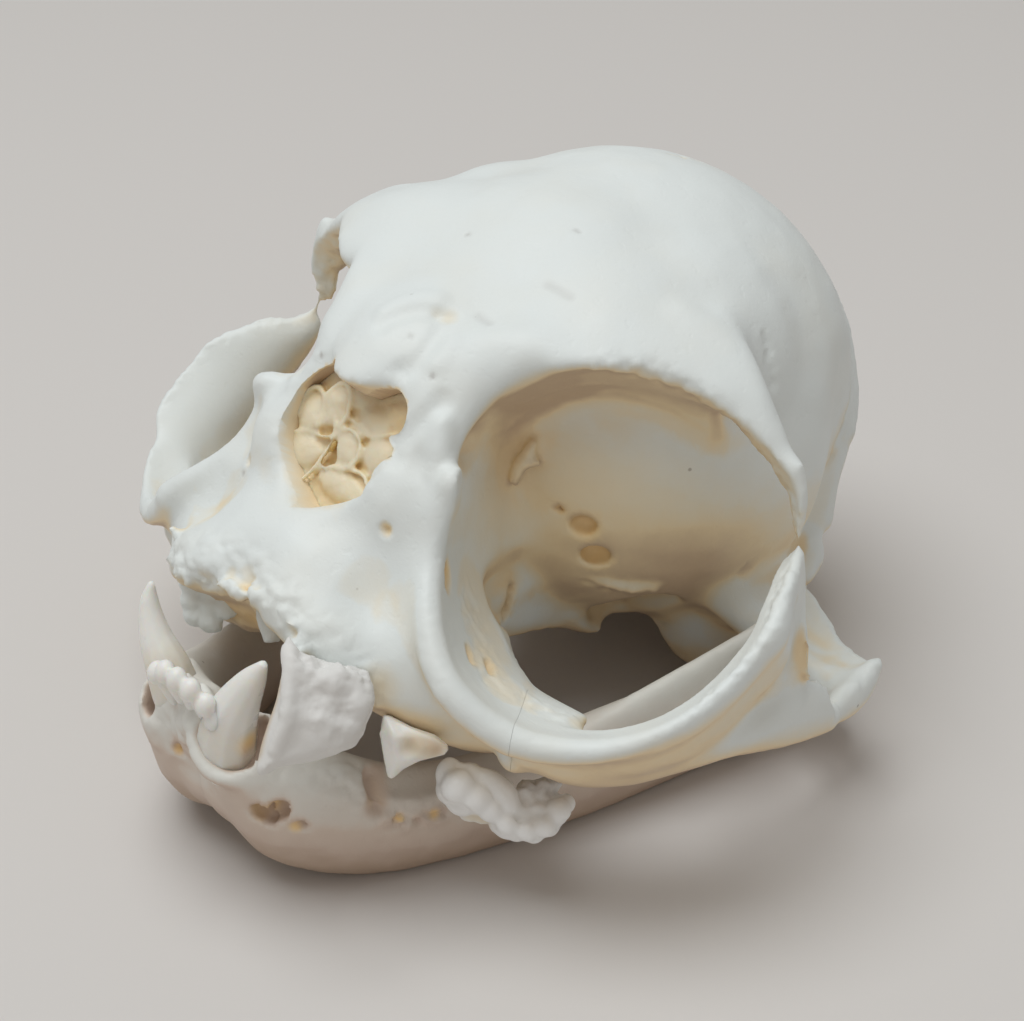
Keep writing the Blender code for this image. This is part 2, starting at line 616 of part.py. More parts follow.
def upper_carnassial(side, surface):
    """Carnassial with the small molar behind it; the right one stands further in."""
    if side < 0:
        crusts = [((17.8, 8.2, 11.4), (1.9, 1.9, 2.4)), ((18.6, 9.8, 10.4), (1.7, 1.7, 2.0)),
                  ((17.2, 6.6, 12.6), (1.6, 1.6, 2.0)), ((19.4, 11.2, 10.6), (1.3, 1.3, 1.6))]
        pieces = [ball(centre, radii, side=side) for centre, radii in crusts]
        return tooth("carnassial_upper_" + SIDE_NAME[side], pieces, surface)
    pieces = [
        ball((18.2, 4.2, 11.6), (1.9, 2.6, 3.6), (0, 8, 20), side=side),
        ball((19.4, 7.2, 10.6), (2.0, 3.0, 2.8), (0, 8, 20), side=side),
        ball((18.9, 4.6, 8.9), (1.4, 1.7, 2.0), side=side),
        ball((20.6, 10.0, 9.2), (1.8, 2.8, 2.4), (0, 8, 30), side=side),
    ]
    return tooth("carnassial_upper_" + SIDE_NAME[side], pieces, surface)


def main():
    clear_scene()
    bone = material("bone", BONE, 0.5)
    enamel = material("enamel", ENAMEL, 0.35)
    inner = material("inner_bone", INNER_BONE, 0.6)
    neighbours = [turbinates(inner), upper_canine(1, enamel)]
    for side in (1, -1):
        neighbours += [upper_premolar(side, enamel), upper_carnassial(side, enamel)]
        neighbours.append(mandible(side, bone, [lower_canine(side, enamel)]))
        zygomatic(side, bone)
    cranium(bone, neighbours)


main()
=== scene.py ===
"""Looks of a short-faced cat's skull that lies on its lower jaw.

Places are millimetres in the skull's own frame: x to the animal's left, y from the muzzle to
the back of the head, z up from the table. at() turns them into the scene's metres.
"""

import math

import bmesh
import bpy
import numpy as np
from mathutils import Matrix, Vector
from mathutils.bvhtree import BVHTree
from mathutils.kdtree import KDTree


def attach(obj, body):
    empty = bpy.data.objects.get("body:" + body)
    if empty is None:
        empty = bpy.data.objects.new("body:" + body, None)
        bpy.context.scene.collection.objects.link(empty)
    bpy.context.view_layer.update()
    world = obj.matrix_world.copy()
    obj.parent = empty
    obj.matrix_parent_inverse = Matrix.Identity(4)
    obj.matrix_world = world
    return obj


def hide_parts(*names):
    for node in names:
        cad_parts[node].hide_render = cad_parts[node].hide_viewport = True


bl_info = {
    "name": "Cat Skull",
    "version": (1, 0, 0),
    "blender": (4, 5, 0),
    "location": "View3D > Sidebar > Cat Skull",
    "description": "Sculpts and finishes the bones and teeth of a short-faced cat's skull",
    "category": "Object",
}

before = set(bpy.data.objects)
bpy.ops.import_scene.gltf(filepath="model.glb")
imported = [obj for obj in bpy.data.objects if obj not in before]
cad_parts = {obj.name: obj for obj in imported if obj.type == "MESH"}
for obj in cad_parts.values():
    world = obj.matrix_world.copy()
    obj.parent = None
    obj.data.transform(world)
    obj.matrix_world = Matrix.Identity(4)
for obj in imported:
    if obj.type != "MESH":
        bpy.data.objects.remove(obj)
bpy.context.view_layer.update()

# ---- driving sizes, mm -------------------------------------------------------------
MM = 0.001
MID_LENGTH = 26.64                          # y of the frame's origin

# Edge of the left orbit, from the tear-duct knob down, out and round to the tip of the
# cheekbone, then from the tip of the brow back over the top
RIM_LOWER = [(11.9, 10.6, 32.7), (12.4, 8.6, 28.4), (15.3, 5.6, 25.2), (18.8, 4.3, 22.2),
             (23.1, 6.2, 19.2), (28.0, 9.5, 18.9), (31.9, 13.4, 20.8), (33.4, 18.6, 23.6),
             (32.8, 23.2, 26.4), (28.9, 30.4, 26.4)]
RIM_UPPER = [(28.1, 31.3, 26.4), (26.3, 31.3, 31.2), (22.4, 28.5, 37.0), (17.3, 24.3, 40.0),
             (12.8, 20.3, 39.8), (9.7, 16.3, 37.1), (10.3, 13.0, 34.2)]
ORBIT_APEX = (9.5, 29.0, 17.5)              # deepest point of the orbit

# Edge of the nasal opening, across and up its slope, from its lowest corner up the right side
NOSE_EDGE = [(0, 28.4), (-2.2, 29.5), (-3.8, 30.4), (-5.0, 31.5), (-5.9, 33.0), (-6.0, 34.2), (-5.8, 35.6),
             (-4.6, 37.1), (-3.1, 38.0), (-2.1, 38.3), (-1.6, 37.5), (-0.5, 37.3), (1.1, 37.0), (1.8, 37.3),
             (2.8, 37.9), (3.9, 38.3), (4.8, 38.1), (5.6, 37.5), (5.8, 36.6), (5.5, 35.8), (4.8, 35.2),
             (5.6, 34.3), (4.8, 32.9), (5.1, 32.2), (5.3, 31.3), (4.7, 30.8), (2.5, 29.6)]
NOSE_MIDDLE = 33.6                          # height of the opening's middle
NOSE_FOOT = (5.45, 28.5)                    # y and z where the opening's slope starts
NOSE_LEAN = 0.648                           # how far the slope runs back for each millimetre up
NOSE_INWARD = (0.84, -0.54)                 # y and z of the way into the nose

# Planes where the left cheekbone meets the cranium: a point on each and its normal
FRONT_SUTURE = ((22.2, 6.4, 18.6), (0.80, 0.58, -0.12))
REAR_SUTURE = ((31, 33.4, 10), (0.0, 0.95, 0.31))
HAIRLINE = 0.02                             # gap at the sutures and between the halves of the jaw
UPPER_FACES = 232000                        # triangles of the cranium and cheekbones together
JAW_FACES = 120000
SHADE_TOP, SHADE_DEPTH = 13, 12             # height where the jaw's painted warm shade begins, and its depth

# Camera of the photograph
VIEW_POINT = (121.5, -89.6, 125.1)
VIEW_TURN = 46.0
VIEW_HEIGHT = 32.3
VIEW_ROLL = -0.7
VIEW_LENS = 81.07
LIT_SPOT = Vector((0, 0, 0.02))             # metres, where the lamps point

SIDE_NAME = {1: "left", -1: "right"}
MERGE = 0.00001                             # metres, points of a CAD copy that are one
CUT_MERGE = 0.000001                        # metres, points of a cut that are one
SOFT_ANGLE = 60                             # degrees, edges sharper than this stay sharp
WARM_SHADE, AMBER_GLOW, STAIN = range(3)               # channels of a point's tints: painted warm shade and bounce light, painted amber glow of light through thin bone, grey stain
SKY_RAYS = 8                                # rays from each point that look for bone near it
SKY_TURN = 2.39996                          # radians from one ray to the next
SKY_START = 0.15                            # mm off the surface where a ray starts
NOISE_CELLS = 32                            # cells of noise before it repeats
HOLLOW_SHADE_MOST = 0.62                          # strongest painted warm shade in a hollow
UNDERSIDE_BOUNCE_GAIN = 1.35                       # strength of the painted warm bounce light on what faces the table
BRAIN_MIDDLE = Vector((0, 34, 20))
STITCH_RADIUS = 0.55                        # brush that sinks a seam of the braincase


def view_axes():
    """Unit vectors to the right, up and towards the viewer of the photograph."""
    turn, height, roll = (math.radians(a) for a in (VIEW_TURN, VIEW_HEIGHT, VIEW_ROLL))
    toward = Vector((math.sin(turn) * math.cos(height), -math.cos(turn) * math.cos(height), math.sin(height)))
    level = Vector((math.cos(turn), math.sin(turn), 0))
    above = toward.cross(level)
    return (math.cos(roll) * level + math.sin(roll) * above, -math.sin(roll) * level + math.cos(roll) * above,
            toward)


ACROSS, UPWARD, TOWARD = view_axes()


def at(point, side=1):
    """Scene position of a point given in millimetres; side -1 gives its mirror image."""
    x, y, z = point
    return Vector((side * x, y - MID_LENGTH, z)) * MM


# ---- modelling helpers -------------------------------------------------------------
def deselect():
    """Leave nothing selected, as an operator acts on all that is."""
    for item in bpy.context.selected_objects:
        item.select_set(False)


def activate(item):
    deselect()
    item.select_set(True)
    bpy.context.view_layer.objects.active = item


def apply_modifier(item, kind, **settings):
    """Add one modifier, set it and apply it."""
    activate(item)
    modifier = item.modifiers.new(kind.lower(), kind)
    for name, value in settings.items():
        setattr(modifier, name, value)
    bpy.ops.object.modifier_apply(modifier=modifier.name)


def add_object(name, data):
    item = bpy.data.objects.new(name, data)
    bpy.context.scene.collection.objects.link(item)
    return item


def solid_of(work, name):
    """Turn a bmesh's faces outwards and make it an object."""
    work.normal_update()
    bmesh.ops.recalc_face_normals(work, faces=work.faces)
    mesh = bpy.data.meshes.new(name)
    work.to_mesh(mesh)
    work.free()
    return add_object(name, mesh)


def copy_node(node):
    """Merged copy of a CAD node, to be sculpted."""
    activate(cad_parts[node])
    bpy.ops.object.duplicate()
    item = bpy.context.object
    item.parent = None
    for key in list(item.keys()):
        del item[key]
    item.data.materials.clear()
    bpy.ops.object.mode_set(mode="EDIT")
    bpy.ops.mesh.select_all(action="SELECT")
    bpy.ops.mesh.remove_doubles(threshold=MERGE)
    bpy.ops.mesh.customdata_custom_splitnormals_clear()
    bpy.ops.object.mode_set(mode="OBJECT")
    return item


def sized(half):
    """Give the new primitive its half size in millimetres and apply its place."""
    item = bpy.context.object
    item.scale = Vector(half) * MM
    bpy.ops.object.transform_apply(location=True, rotation=True, scale=True)
    return item


def ball(centre, radii, turn=(0, 0, 0), side=1):
    """Ellipsoid; turn is in degrees about x, y and z."""
    spin = [math.radians(a * s) for a, s in zip(turn, (1, side, side))]
    deselect()
    bpy.ops.mesh.primitive_ico_sphere_add(subdivisions=4, radius=1, location=at(centre, side), rotation=spin)
    return sized(radii)


def moved(item, place):
    """Move a piece that was made at the frame's origin to its place."""
    item.data.transform(Matrix.Translation(at(place) - at((0, 0, 0))))
    return item


def balls(*rows, side=1):
    """Ellipsoids from rows of a centre and its radii."""
    return [ball(centre, radii, side=side) for centre, radii in rows]


def block(centre, half, side):
    """Plain block given by its centre and half its size."""
    deselect()
    bpy.ops.mesh.primitive_cube_add(size=2, location=at(centre, side))
    return sized(half)


def smooth_path(points, steps):
    """Catmull-Rom curve through the points, with steps pieces in each span."""
    points = [Vector(p) for p in points]
    ends = [2 * points[0] - points[1]] + points + [2 * points[-1] - points[-2]]
    path = []
    for a, b, c, d in zip(ends, ends[1:], ends[2:], ends[3:]):
        for k in range(steps):
            t = k / steps
            path.append(0.5 * ((2 * b) + (c - a) * t + (2 * a - 5 * b + 4 * c - d) * t * t
                               + (3 * b - a - 3 * c + d) * t ** 3))
    return path + [points[-1]]


def evenly(values, count):
    """The list of values read at count even steps from first to last."""
    steps = np.linspace(0, len(values) - 1, count)
    out = []
    for f in steps:
        i = min(int(f), len(values) - 2)
        out.append(values[i] + (values[i + 1] - values[i]) * (f - i))
    return out


def rod(points, radii, side=1, steps=5):
    """Round rod along a curve with a radius at each point."""
    path = smooth_path(points, steps)
    curve = bpy.data.curves.new("rod", "CURVE")
    curve.dimensions = "3D"
    curve.bevel_depth = MM
    curve.bevel_resolution = 3
    curve.use_fill_caps = True
    spline = curve.splines.new("POLY")
    spline.points.add(len(path) - 1)
    for knot, place, radius in zip(spline.points, path, evenly(radii, len(path))):
        knot.co = (*at(place, side), 1)
        knot.radius = radius
    activate(add_object("rod", curve))
    bpy.ops.object.convert(target="MESH")
    return bpy.context.object


def loft(rings, side=1):
    """Solid skinned over a stack of rings that have equal numbers of points."""
    work = bmesh.new()
    rows = [[work.verts.new(at(p, side)) for p in ring] for ring in rings]
    count = len(rows[0])
    for low, high in zip(rows, rows[1:]):
        for i in range(count):
            j = (i + 1) % count
            work.faces.new((low[i], low[j], high[j], high[i]))
    work.faces.new(list(reversed(rows[0])))
    work.faces.new(rows[-1])
    return solid_of(work, "loft")


def plate(edge_a, edge_b, thick, side=1):
    """Curved plate between two edges; thick is a list of thicknesses along its length."""
    steps, corners = 6, 16
    count = steps * (max(len(edge_a), len(edge_b)) - 1) + 1
    first = evenly(smooth_path(edge_a, steps), count)
    second = evenly(smooth_path(edge_b, steps), count)
    sizes = evenly(thick, count)
    rings = []
    for i in range(count):
        low, high = max(i - 1, 0), min(i + 1, count - 1)
        along = (first[high] + second[high] - first[low] - second[low]).normalized()
        span = second[i] - first[i]
        normal = span.cross(along).normalized()
        centre = (first[i] + second[i]) / 2
        turns = [math.tau * k / corners for k in range(corners)]
        rings.append([centre - span / 2 * math.cos(a) + normal * (sizes[i] / 2 * math.sin(a)) for a in turns])
    return loft(rings, side)


def join(pieces):
    """Make one object of several."""
    activate(pieces[0])
    for piece in pieces:
        piece.select_set(True)
    bpy.ops.object.join()
    return bpy.context.object


def remesh(item, voxel, rounds):
    """Rebuild the surface in even grains and soften what they leave."""
    apply_modifier(item, "REMESH", mode="VOXEL", voxel_size=voxel)
    apply_modifier(item, "SMOOTH", factor=0.5, iterations=rounds)


def melt(pieces, voxel, rounds):
    """Melt overlapping solids into one."""
    item = join(pieces)
    remesh(item, voxel * MM, rounds)
    return item


def cut(item, cutter, operation="DIFFERENCE"):
    """Take the cutter's volume away from the item, or keep only what is inside it."""
    apply_modifier(item, "BOOLEAN", operation=operation, solver="EXACT", object=cutter)
    bpy.data.objects.remove(cutter, do_unlink=True)


def part_of(whole, space):
    """Copy of the whole that keeps only what is inside a space."""
    part = whole.copy()
    part.data = whole.data.copy()
    bpy.context.scene.collection.objects.link(part)
    cut(part, space, "INTERSECT")
    return part


def thin_out(item, faces):
    """Bring the item down to about so many triangles."""
    now = sum(len(p.vertices) - 2 for p in item.data.polygons)
    apply_modifier(item, "DECIMATE", ratio=min(1.0, faces / now))


def seen(centre, across, up, near):
    """Point so far to the right of a centre, above it and towards the viewer of the photograph."""
    return Vector(centre) + ACROSS * across + UPWARD * up + TOWARD * near


def drawn(centre, *spots):
    """Line through points that are given as the viewer sees them from a centre."""
    return [seen(centre, *spot) for spot in spots]


def view_block(centre, outline, near, far):
    """Block whose outline is given as the viewer sees it, between two distances from its centre."""
    return loft([[seen(centre, x, z, depth) for x, z in outline] for depth in (far, near)])


def on_plane(plane, across, up, off):
    """Point of a suture's plane: so far across and up from its middle, and off it along the normal."""
    middle, normal = Vector(plane[0]), Vector(plane[1]).normalized()
    side_way = normal.cross(Vector((0, 0, 1))).normalized()
    return middle + side_way * across + side_way.cross(normal) * up + normal * off


def cheek_space(side, gap):
    """Convex block round one cheekbone, which ends on the two sutures' planes."""
    corners = [on_plane(FRONT_SUTURE, x, z, -gap) for x in (-7, 6) for z in (-10, 5)]
    corners += [on_plane(REAR_SUTURE, x, z, gap) for x in (-5, 4) for z in (-6, 9)]
    corners += [Vector(p) for p in ((38, 10, 24), (38, 24, 31), (37, 12, 8), (38, 26, 8), (28.2, 29.6, 27.4),
                                    (30, 31.6, 27.4), (27.6, 30.0, 24.0))]
    work = bmesh.new()
    for corner in corners:
        work.verts.new(at(corner, side))
    made = bmesh.ops.convex_hull(work, input=work.verts)
    spare = [g for g in made["geom_interior"] + made["geom_unused"] if isinstance(g, bmesh.types.BMVert)]
    bmesh.ops.delete(work, geom=list(set(spare)), context="VERTS")
    return solid_of(work, "cheek_space")


def biggest_body(item):
    """Drop every loose crumb but the biggest body."""
    activate(item)
    bpy.ops.mesh.separate(type="LOOSE")
    bodies = sorted(bpy.context.selected_objects, key=lambda o: len(o.data.vertices))
    for crumb in bodies[:-1]:
        bpy.data.objects.remove(crumb, do_unlink=True)
    return bodies[-1]


# ---- brush work --------------------------------------------------------------------
def grain(points, size, seed):
    """Smooth noise between -1 and 1 with bumps of about the given size."""
    lattice = np.random.RandomState(seed).uniform(-1, 1, (NOISE_CELLS,) * 3)
    scaled = points / size + 100
    cell = np.floor(scaled).astype(int)
    part = scaled - cell
    part = part * part * (3 - 2 * part)
    total = np.zeros(len(points))
    for corner in np.ndindex(2, 2, 2):
        weight = np.abs(1 - np.array(corner) - part)
        x, y, z = ((cell + corner) % NOISE_CELLS).T
        total += weight[:, 0] * weight[:, 1] * weight[:, 2] * lattice[x, y, z]
    return total


class Clay:
    """A piece under the sculptor's brushes: its points in millimetres, and its tints."""

    def __init__(self, piece):
        self.piece = piece
        self.count = len(piece.data.vertices)
        flat = np.empty(self.count * 3, np.float32)
        piece.data.vertices.foreach_get("co", flat)
        self.places = flat.reshape(-1, 3).astype(float) / MM + (0, MID_LENGTH, 0)
        ends = np.empty(len(piece.data.edges) * 2, np.int32)
        piece.data.edges.foreach_get("vertices", ends)
        self.edges = ends.reshape(-1, 2)
        self.tints = np.zeros((self.count, 4))
        self.tints[:, 3] = 1
        self.turn_normals()

    def write(self):
        """Put the points back into the piece."""
        flat = ((self.places - (0, MID_LENGTH, 0)) * MM).astype(np.float32)
        self.piece.data.vertices.foreach_set("co", flat.ravel())
        self.piece.data.update()

    def turn_normals(self):
        """Read the normals again, for the shape as it is now."""
        self.write()
        flat = np.empty(self.count * 3, np.float32)
        self.piece.data.vertices.foreach_get("normal", flat)
        self.normals = flat.reshape(-1, 3).astype(float)

    def under(self, path, radius, side=1, facing=None):
        """Points under a brush drawn along the path, and how near they are: 1 on it, 0 at its edge."""
        knots = np.array([tuple(p) for p in (smooth_path(path, 4) if len(path) > 1 else path)])
        knots = knots * (side, 1, 1)
        low, high = knots.min(0) - radius, knots.max(0) + radius
        inside = np.where(((self.places > low) & (self.places < high)).all(1))[0]
        if facing is not None:
            way = np.array(facing, float) * (side, 1, 1)
            inside = inside[self.normals[inside] @ way > 0]
        spots = self.places[inside]
        best = np.full(len(inside), 1e9)
        if len(knots) == 1:
            best = np.linalg.norm(spots - knots[0], axis=1)
        for a, b in zip(knots, knots[1:]):
            span = b - a
            t = np.clip((spots - a) @ span / max(span @ span, 1e-9), 0, 1)
            best = np.minimum(best, np.linalg.norm(spots - a - t[:, None] * span, axis=1))
        keep = best < radius
        near = 1 - best[keep] / radius
        return inside[keep], near * near * (3 - 2 * near)

    def stitch(self, path, reach, depth, seed):
        """Sink a fine wavering seam along a path, laid on the nearest points of the surface, with painted
        warm shade in it.
        """
        sway = np.random.RandomState(seed)
        line = smooth_path(path, 7)
        knots = []
        for i, p in enumerate(line):
            ahead = line[min(i + 1, len(line) - 1)] - line[max(i - 1, 0)]
            across = ahead.cross(p - BRAIN_MIDDLE).normalized()
            target = np.array(p + across * ((-1) ** i * sway.uniform(0.2, 1.0) * reach))
            knots.append(self.places[np.argmin(((self.places - target) ** 2).sum(1))])
        for a, b in zip(knots, knots[1:]):
            self.push([a, b], STITCH_RADIUS, -depth)
            # painted warm shade in the sunk seam
            self.tint(WARM_SHADE, [a, b], STITCH_RADIUS, 0.45)

    def push(self, path, radius, height, side=1, facing=None):
        """Raise the surface along a path, or sink it where height is negative."""
        which, near = self.under(path, radius, side, facing)
        self.places[which] += self.normals[which] * (near * height)[:, None]

    def shift(self, path, radius, move, side=1):
        """Drag the surface under the brush by a vector."""
        which, near = self.under(path, radius, side)
        self.places[which] += near[:, None] * (np.array(move, float) * (side, 1, 1))

    def crumble(self, path, radius, amount, size, seed, side=1, bias=0.0):
        """Roughen the surface along a path with two sizes of bumps."""
        which, near = self.under(path, radius, side)
        rough = grain(self.places[which], size, seed) + 0.5 * grain(self.places[which], size * 0.45, seed + 1)
        self.places[which] += self.normals[which] * ((rough + bias) * near * amount)[:, None]

    def relax(self, path, radius, rounds, side=1):
        """Smooth the surface under the brush."""
        which, near = self.under(path, radius, side)
        near = np.minimum(near * 2, 1)
        mask = np.zeros(self.count, bool)
        mask[which] = True
        a, b = self.edges[mask[self.edges].any(1)].T
        for _ in range(rounds):
            total = np.zeros((self.count, 3))
            degree = np.bincount(np.concatenate([a, b]), minlength=self.count)
            for axis in range(3):
                total[:, axis] = (np.bincount(a, self.places[b, axis], self.count)
                                  + np.bincount(b, self.places[a, axis], self.count))
            mean = total[which] / np.maximum(degree[which], 1)[:, None]
            self.places[which] += (mean - self.places[which]) * near[:, None]

    def tint(self, channel, path, radius, strength, side=1, facing=None):
        """Paint one of the tints along a path."""
        which, near = self.under(path, radius, side, facing)
        self.tints[which, channel] = np.maximum(self.tints[which, channel], near * strength)

    def closed_sky(self, reach):
        """How much of the sky within reach of each point is shut off by bone, from 0 to 1."""
        self.turn_normals()
        tree = BVHTree.FromObject(self.piece, bpy.context.evaluated_depsgraph_get())
        ways = []
        for k in range(SKY_RAYS):
            height = 1 - (k + 0.5) / SKY_RAYS
            turn = k * SKY_TURN
            ring = math.sqrt(1 - height * height)
            ways.append((ring * math.cos(turn), ring * math.sin(turn), height))
        closed = np.zeros(self.count)
        for i, vertex in enumerate(self.piece.data.vertices):
            normal = vertex.normal
            start = vertex.co + normal * (SKY_START * MM)
            basis = normal.to_track_quat("Z", "Y").to_matrix()
            blocked = 0.0
            for way in ways:
                hit = tree.ray_cast(start, basis @ Vector(way), reach * MM)
                if hit[0] is not None:
                    blocked += 1 - hit[3] / (reach * MM)
            closed[i] = blocked / SKY_RAYS
        return closed

    def paint_hollow_shade(self, reach, floor, gain):
        """Paint warm shade into the hollows, and a little painted warm bounce light on everything that faces
        the table.
        """
        closed = self.spread(self.closed_sky(reach), 3)
        # painted warm bounce light on the faces that turn to the table
        below = self.spread(np.clip(-0.02 - self.normals[:, 2], 0, 1), 3) * UNDERSIDE_BOUNCE_GAIN
        hollow = np.clip((closed - floor) * gain, 0, HOLLOW_SHADE_MOST)
        self.tints[:, WARM_SHADE] = np.clip(np.maximum(self.tints[:, WARM_SHADE] * 0.7, hollow) + below, 0, 1)

    def spread(self, values, rounds):
        """Blur a value over the surface."""
        a, b = self.edges.T
        degree = np.bincount(np.concatenate([a, b]), minlength=self.count)
        for _ in range(rounds):
            total = np.bincount(a, values[b], self.count) + np.bincount(b, values[a], self.count)
            values = 0.4 * values + 0.6 * total / np.maximum(degree, 1)
        return values

    def finish(self):
        """Write the shape and the tints to the piece."""
        self.write()
        layer = self.piece.data.color_attributes.new("tone", "FLOAT_COLOR", "POINT")
        layer.data.foreach_set("color", self.tints.astype(np.float32).ravel())
        return self.piece


def clear_crumbs(item):
    """Keep the one big body of a cut piece and drop the loose crumbs that the cut left beside it.

    A few folded slivers stay: they only part from the body when its faces are split into triangles.
    """
    shape = bmesh.new()
    shape.from_mesh(item.data)
    bmesh.ops.remove_doubles(shape, verts=shape.verts, dist=CUT_MERGE)
    left, biggest = set(shape.faces), set()
    while left:
        front = [left.pop()]
        body = set(front)
        while front:
            for edge in front.pop().edges:
                if len(edge.link_faces) == 2:
                    for face in edge.link_faces:
                        if face in left:
                            left.discard(face)
                            body.add(face)
                            front.append(face)
        biggest = max(biggest, body, key=len)
    crumbs = [face for face in shape.faces if face not in biggest]
    bmesh.ops.delete(shape, geom=crumbs, context="FACES")
    shape.to_mesh(item.data)
    shape.free()


def hand_tints(clay, pieces):
    """Give each piece that was cut from the clay the tints of the clay's nearest points."""
    tree = KDTree(clay.count)
    for i, place in enumerate(clay.places):
        tree.insert(place, i)
    tree.balance()
    for piece in pieces:
        clear_crumbs(piece)
        part = Clay(piece)
        part.tints = clay.tints[[tree.find(place)[1] for place in part.places]]
        part.finish()


# ---- materials ---------------------------------------------------------------------
class Nodes:
    """Short way to build a node tree."""

    def __init__(self, name):
        self.material = bpy.data.materials.new(name)
        self.material.use_nodes = True
        self.tree = self.material.node_tree
        self.shader = self.tree.nodes["Principled BSDF"]

    def add(self, kind, **settings):
        node = self.tree.nodes.new("ShaderNode" + kind)
        for name, value in settings.items():
            setattr(node, name, value)
        return node

    def link(self, source, target):
        self.tree.links.new(source, target)

    def noise(self, place, scale, detail, roughness=0.5):
        node = self.add("TexNoise")
        self.link(place, node.inputs["Vector"])
        node.inputs["Scale"].default_value = scale
        node.inputs["Detail"].default_value = detail
        node.inputs["Roughness"].default_value = roughness
        return node.outputs["Fac"]

    def remap(self, value, low, high, to_low=0.0, to_high=1.0):
        node = self.add("MapRange")
        self.link(value, node.inputs["Value"])
        for name, number in (("From Min", low), ("From Max", high), ("To Min", to_low), ("To Max", to_high)):
            node.inputs[name].default_value = number
        return node.outputs["Result"]

    def math(self, operation, first, second):
        node = self.add("Math", operation=operation)
        for socket, value in zip(node.inputs, (first, second)):
            if isinstance(value, (int, float)):
                socket.default_value = value
            else:
                self.link(value, socket)
        return node.outputs["Value"]

    def blend(self, factor, first, second):
        """Mix two colours; either may be a colour or another node's output."""
        node = self.add("Mix", data_type="RGBA")
        self.link(factor, node.inputs["Factor"])
        for socket, value in ((node.inputs[6], first), (node.inputs[7], second)):
            if isinstance(value, tuple):
                socket.default_value = (*value, 1)
            else:
                self.link(value, socket)
        return node.outputs[2]

    def bump(self, height, distance, strength, under=None):
        node = self.add("Bump")
        self.link(height, node.inputs["Height"])
        node.inputs["Distance"].default_value = distance * MM
        node.inputs["Strength"].default_value = strength
        if under is not None:
            self.link(under, node.inputs["Normal"])
        return node.outputs["Normal"]


def bone_material(name, white, cream, tan, brown, amber, roughness, glow):
    """Dry bleached bone: white outside, with painted warm shade from cream to tan in its hollows and to brown
    on what faces the table, painted amber glow where light comes through thin bone, pores and specks.
    """
    n = Nodes(name)
    place = n.add("TexCoord").outputs["Object"]
    tone = n.add("Attribute", attribute_name="tone").outputs["Color"]
    split = n.add("SeparateColor")
    n.link(tone, split.inputs["Color"])
    warm, glow_share, stain = (split.outputs[channel] for channel in (WARM_SHADE, AMBER_GLOW, STAIN))
    # faint cream clouds, then the painted warm shade through cream and tan to brown, then the painted amber
    # glow of thin bone
    cloud = n.noise(place, 120, 3)
    mottle = n.noise(place, 700, 3, 0.6)
    off_white = tuple(0.78 * a + 0.22 * b for a, b in zip(white, cream))
    base = n.blend(n.remap(cloud, 0.45, 0.85), white, off_white)
    shade_spread = n.math("ADD", warm, n.math("MULTIPLY", n.math("SUBTRACT", mottle, 0.5), 0.12))
    creamy = n.blend(n.remap(shade_spread, 0.02, 0.35), base, cream)
    tanned = n.blend(n.remap(shade_spread, 0.32, 0.66), creamy, tan)
    browned = n.blend(n.remap(shade_spread, 0.62, 1.0), tanned, brown)
    glowing = n.blend(glow_share, browned, amber)
    # sparse dark specks and grey stains
    speck = n.add("TexVoronoi")
    n.link(place, speck.inputs["Vector"])
    speck.inputs["Scale"].default_value = 210
    sparse = n.noise(place, 90, 1)
    dot = n.math("MULTIPLY", n.remap(speck.outputs["Distance"], 0.04, 0.022), n.remap(sparse, 0.47, 0.51))
    soiled = n.blend(n.math("MULTIPLY", dot, 0.55), glowing, (0.22, 0.18, 0.14))
    marked = n.blend(n.math("MULTIPLY", stain, 0.8), soiled, (0.36, 0.33, 0.31))
    n.link(marked, n.shader.inputs["Base Color"])
    rough = n.remap(n.noise(place, 260, 4), 0.3, 0.7, roughness - 0.08, roughness + 0.1)
    n.link(rough, n.shader.inputs["Roughness"])
    # long waves, pores and pits of the skin
    pores = n.noise(place, 2600, 2, 0.65)
    pitted = n.remap(n.noise(place, 1300, 1), 0.60, 0.78)
    waves = n.noise(place, 420, 2)
    skin = n.bump(waves, 0.10, 0.35)
    skin = n.bump(pores, 0.05, 0.28, skin)
    skin = n.bump(n.math("MULTIPLY", pitted, -1.0), 0.06, 0.3, skin)
    n.link(skin, n.shader.inputs["Normal"])
    if glow:
        n.shader.inputs["Subsurface Weight"].default_value = glow
        n.shader.inputs["Subsurface Radius"].default_value = (1.0, 0.72, 0.5)
        n.shader.inputs["Subsurface Scale"].default_value = MM
    n.shader.inputs["Specular IOR Level"].default_value = 0.4
    return n.material


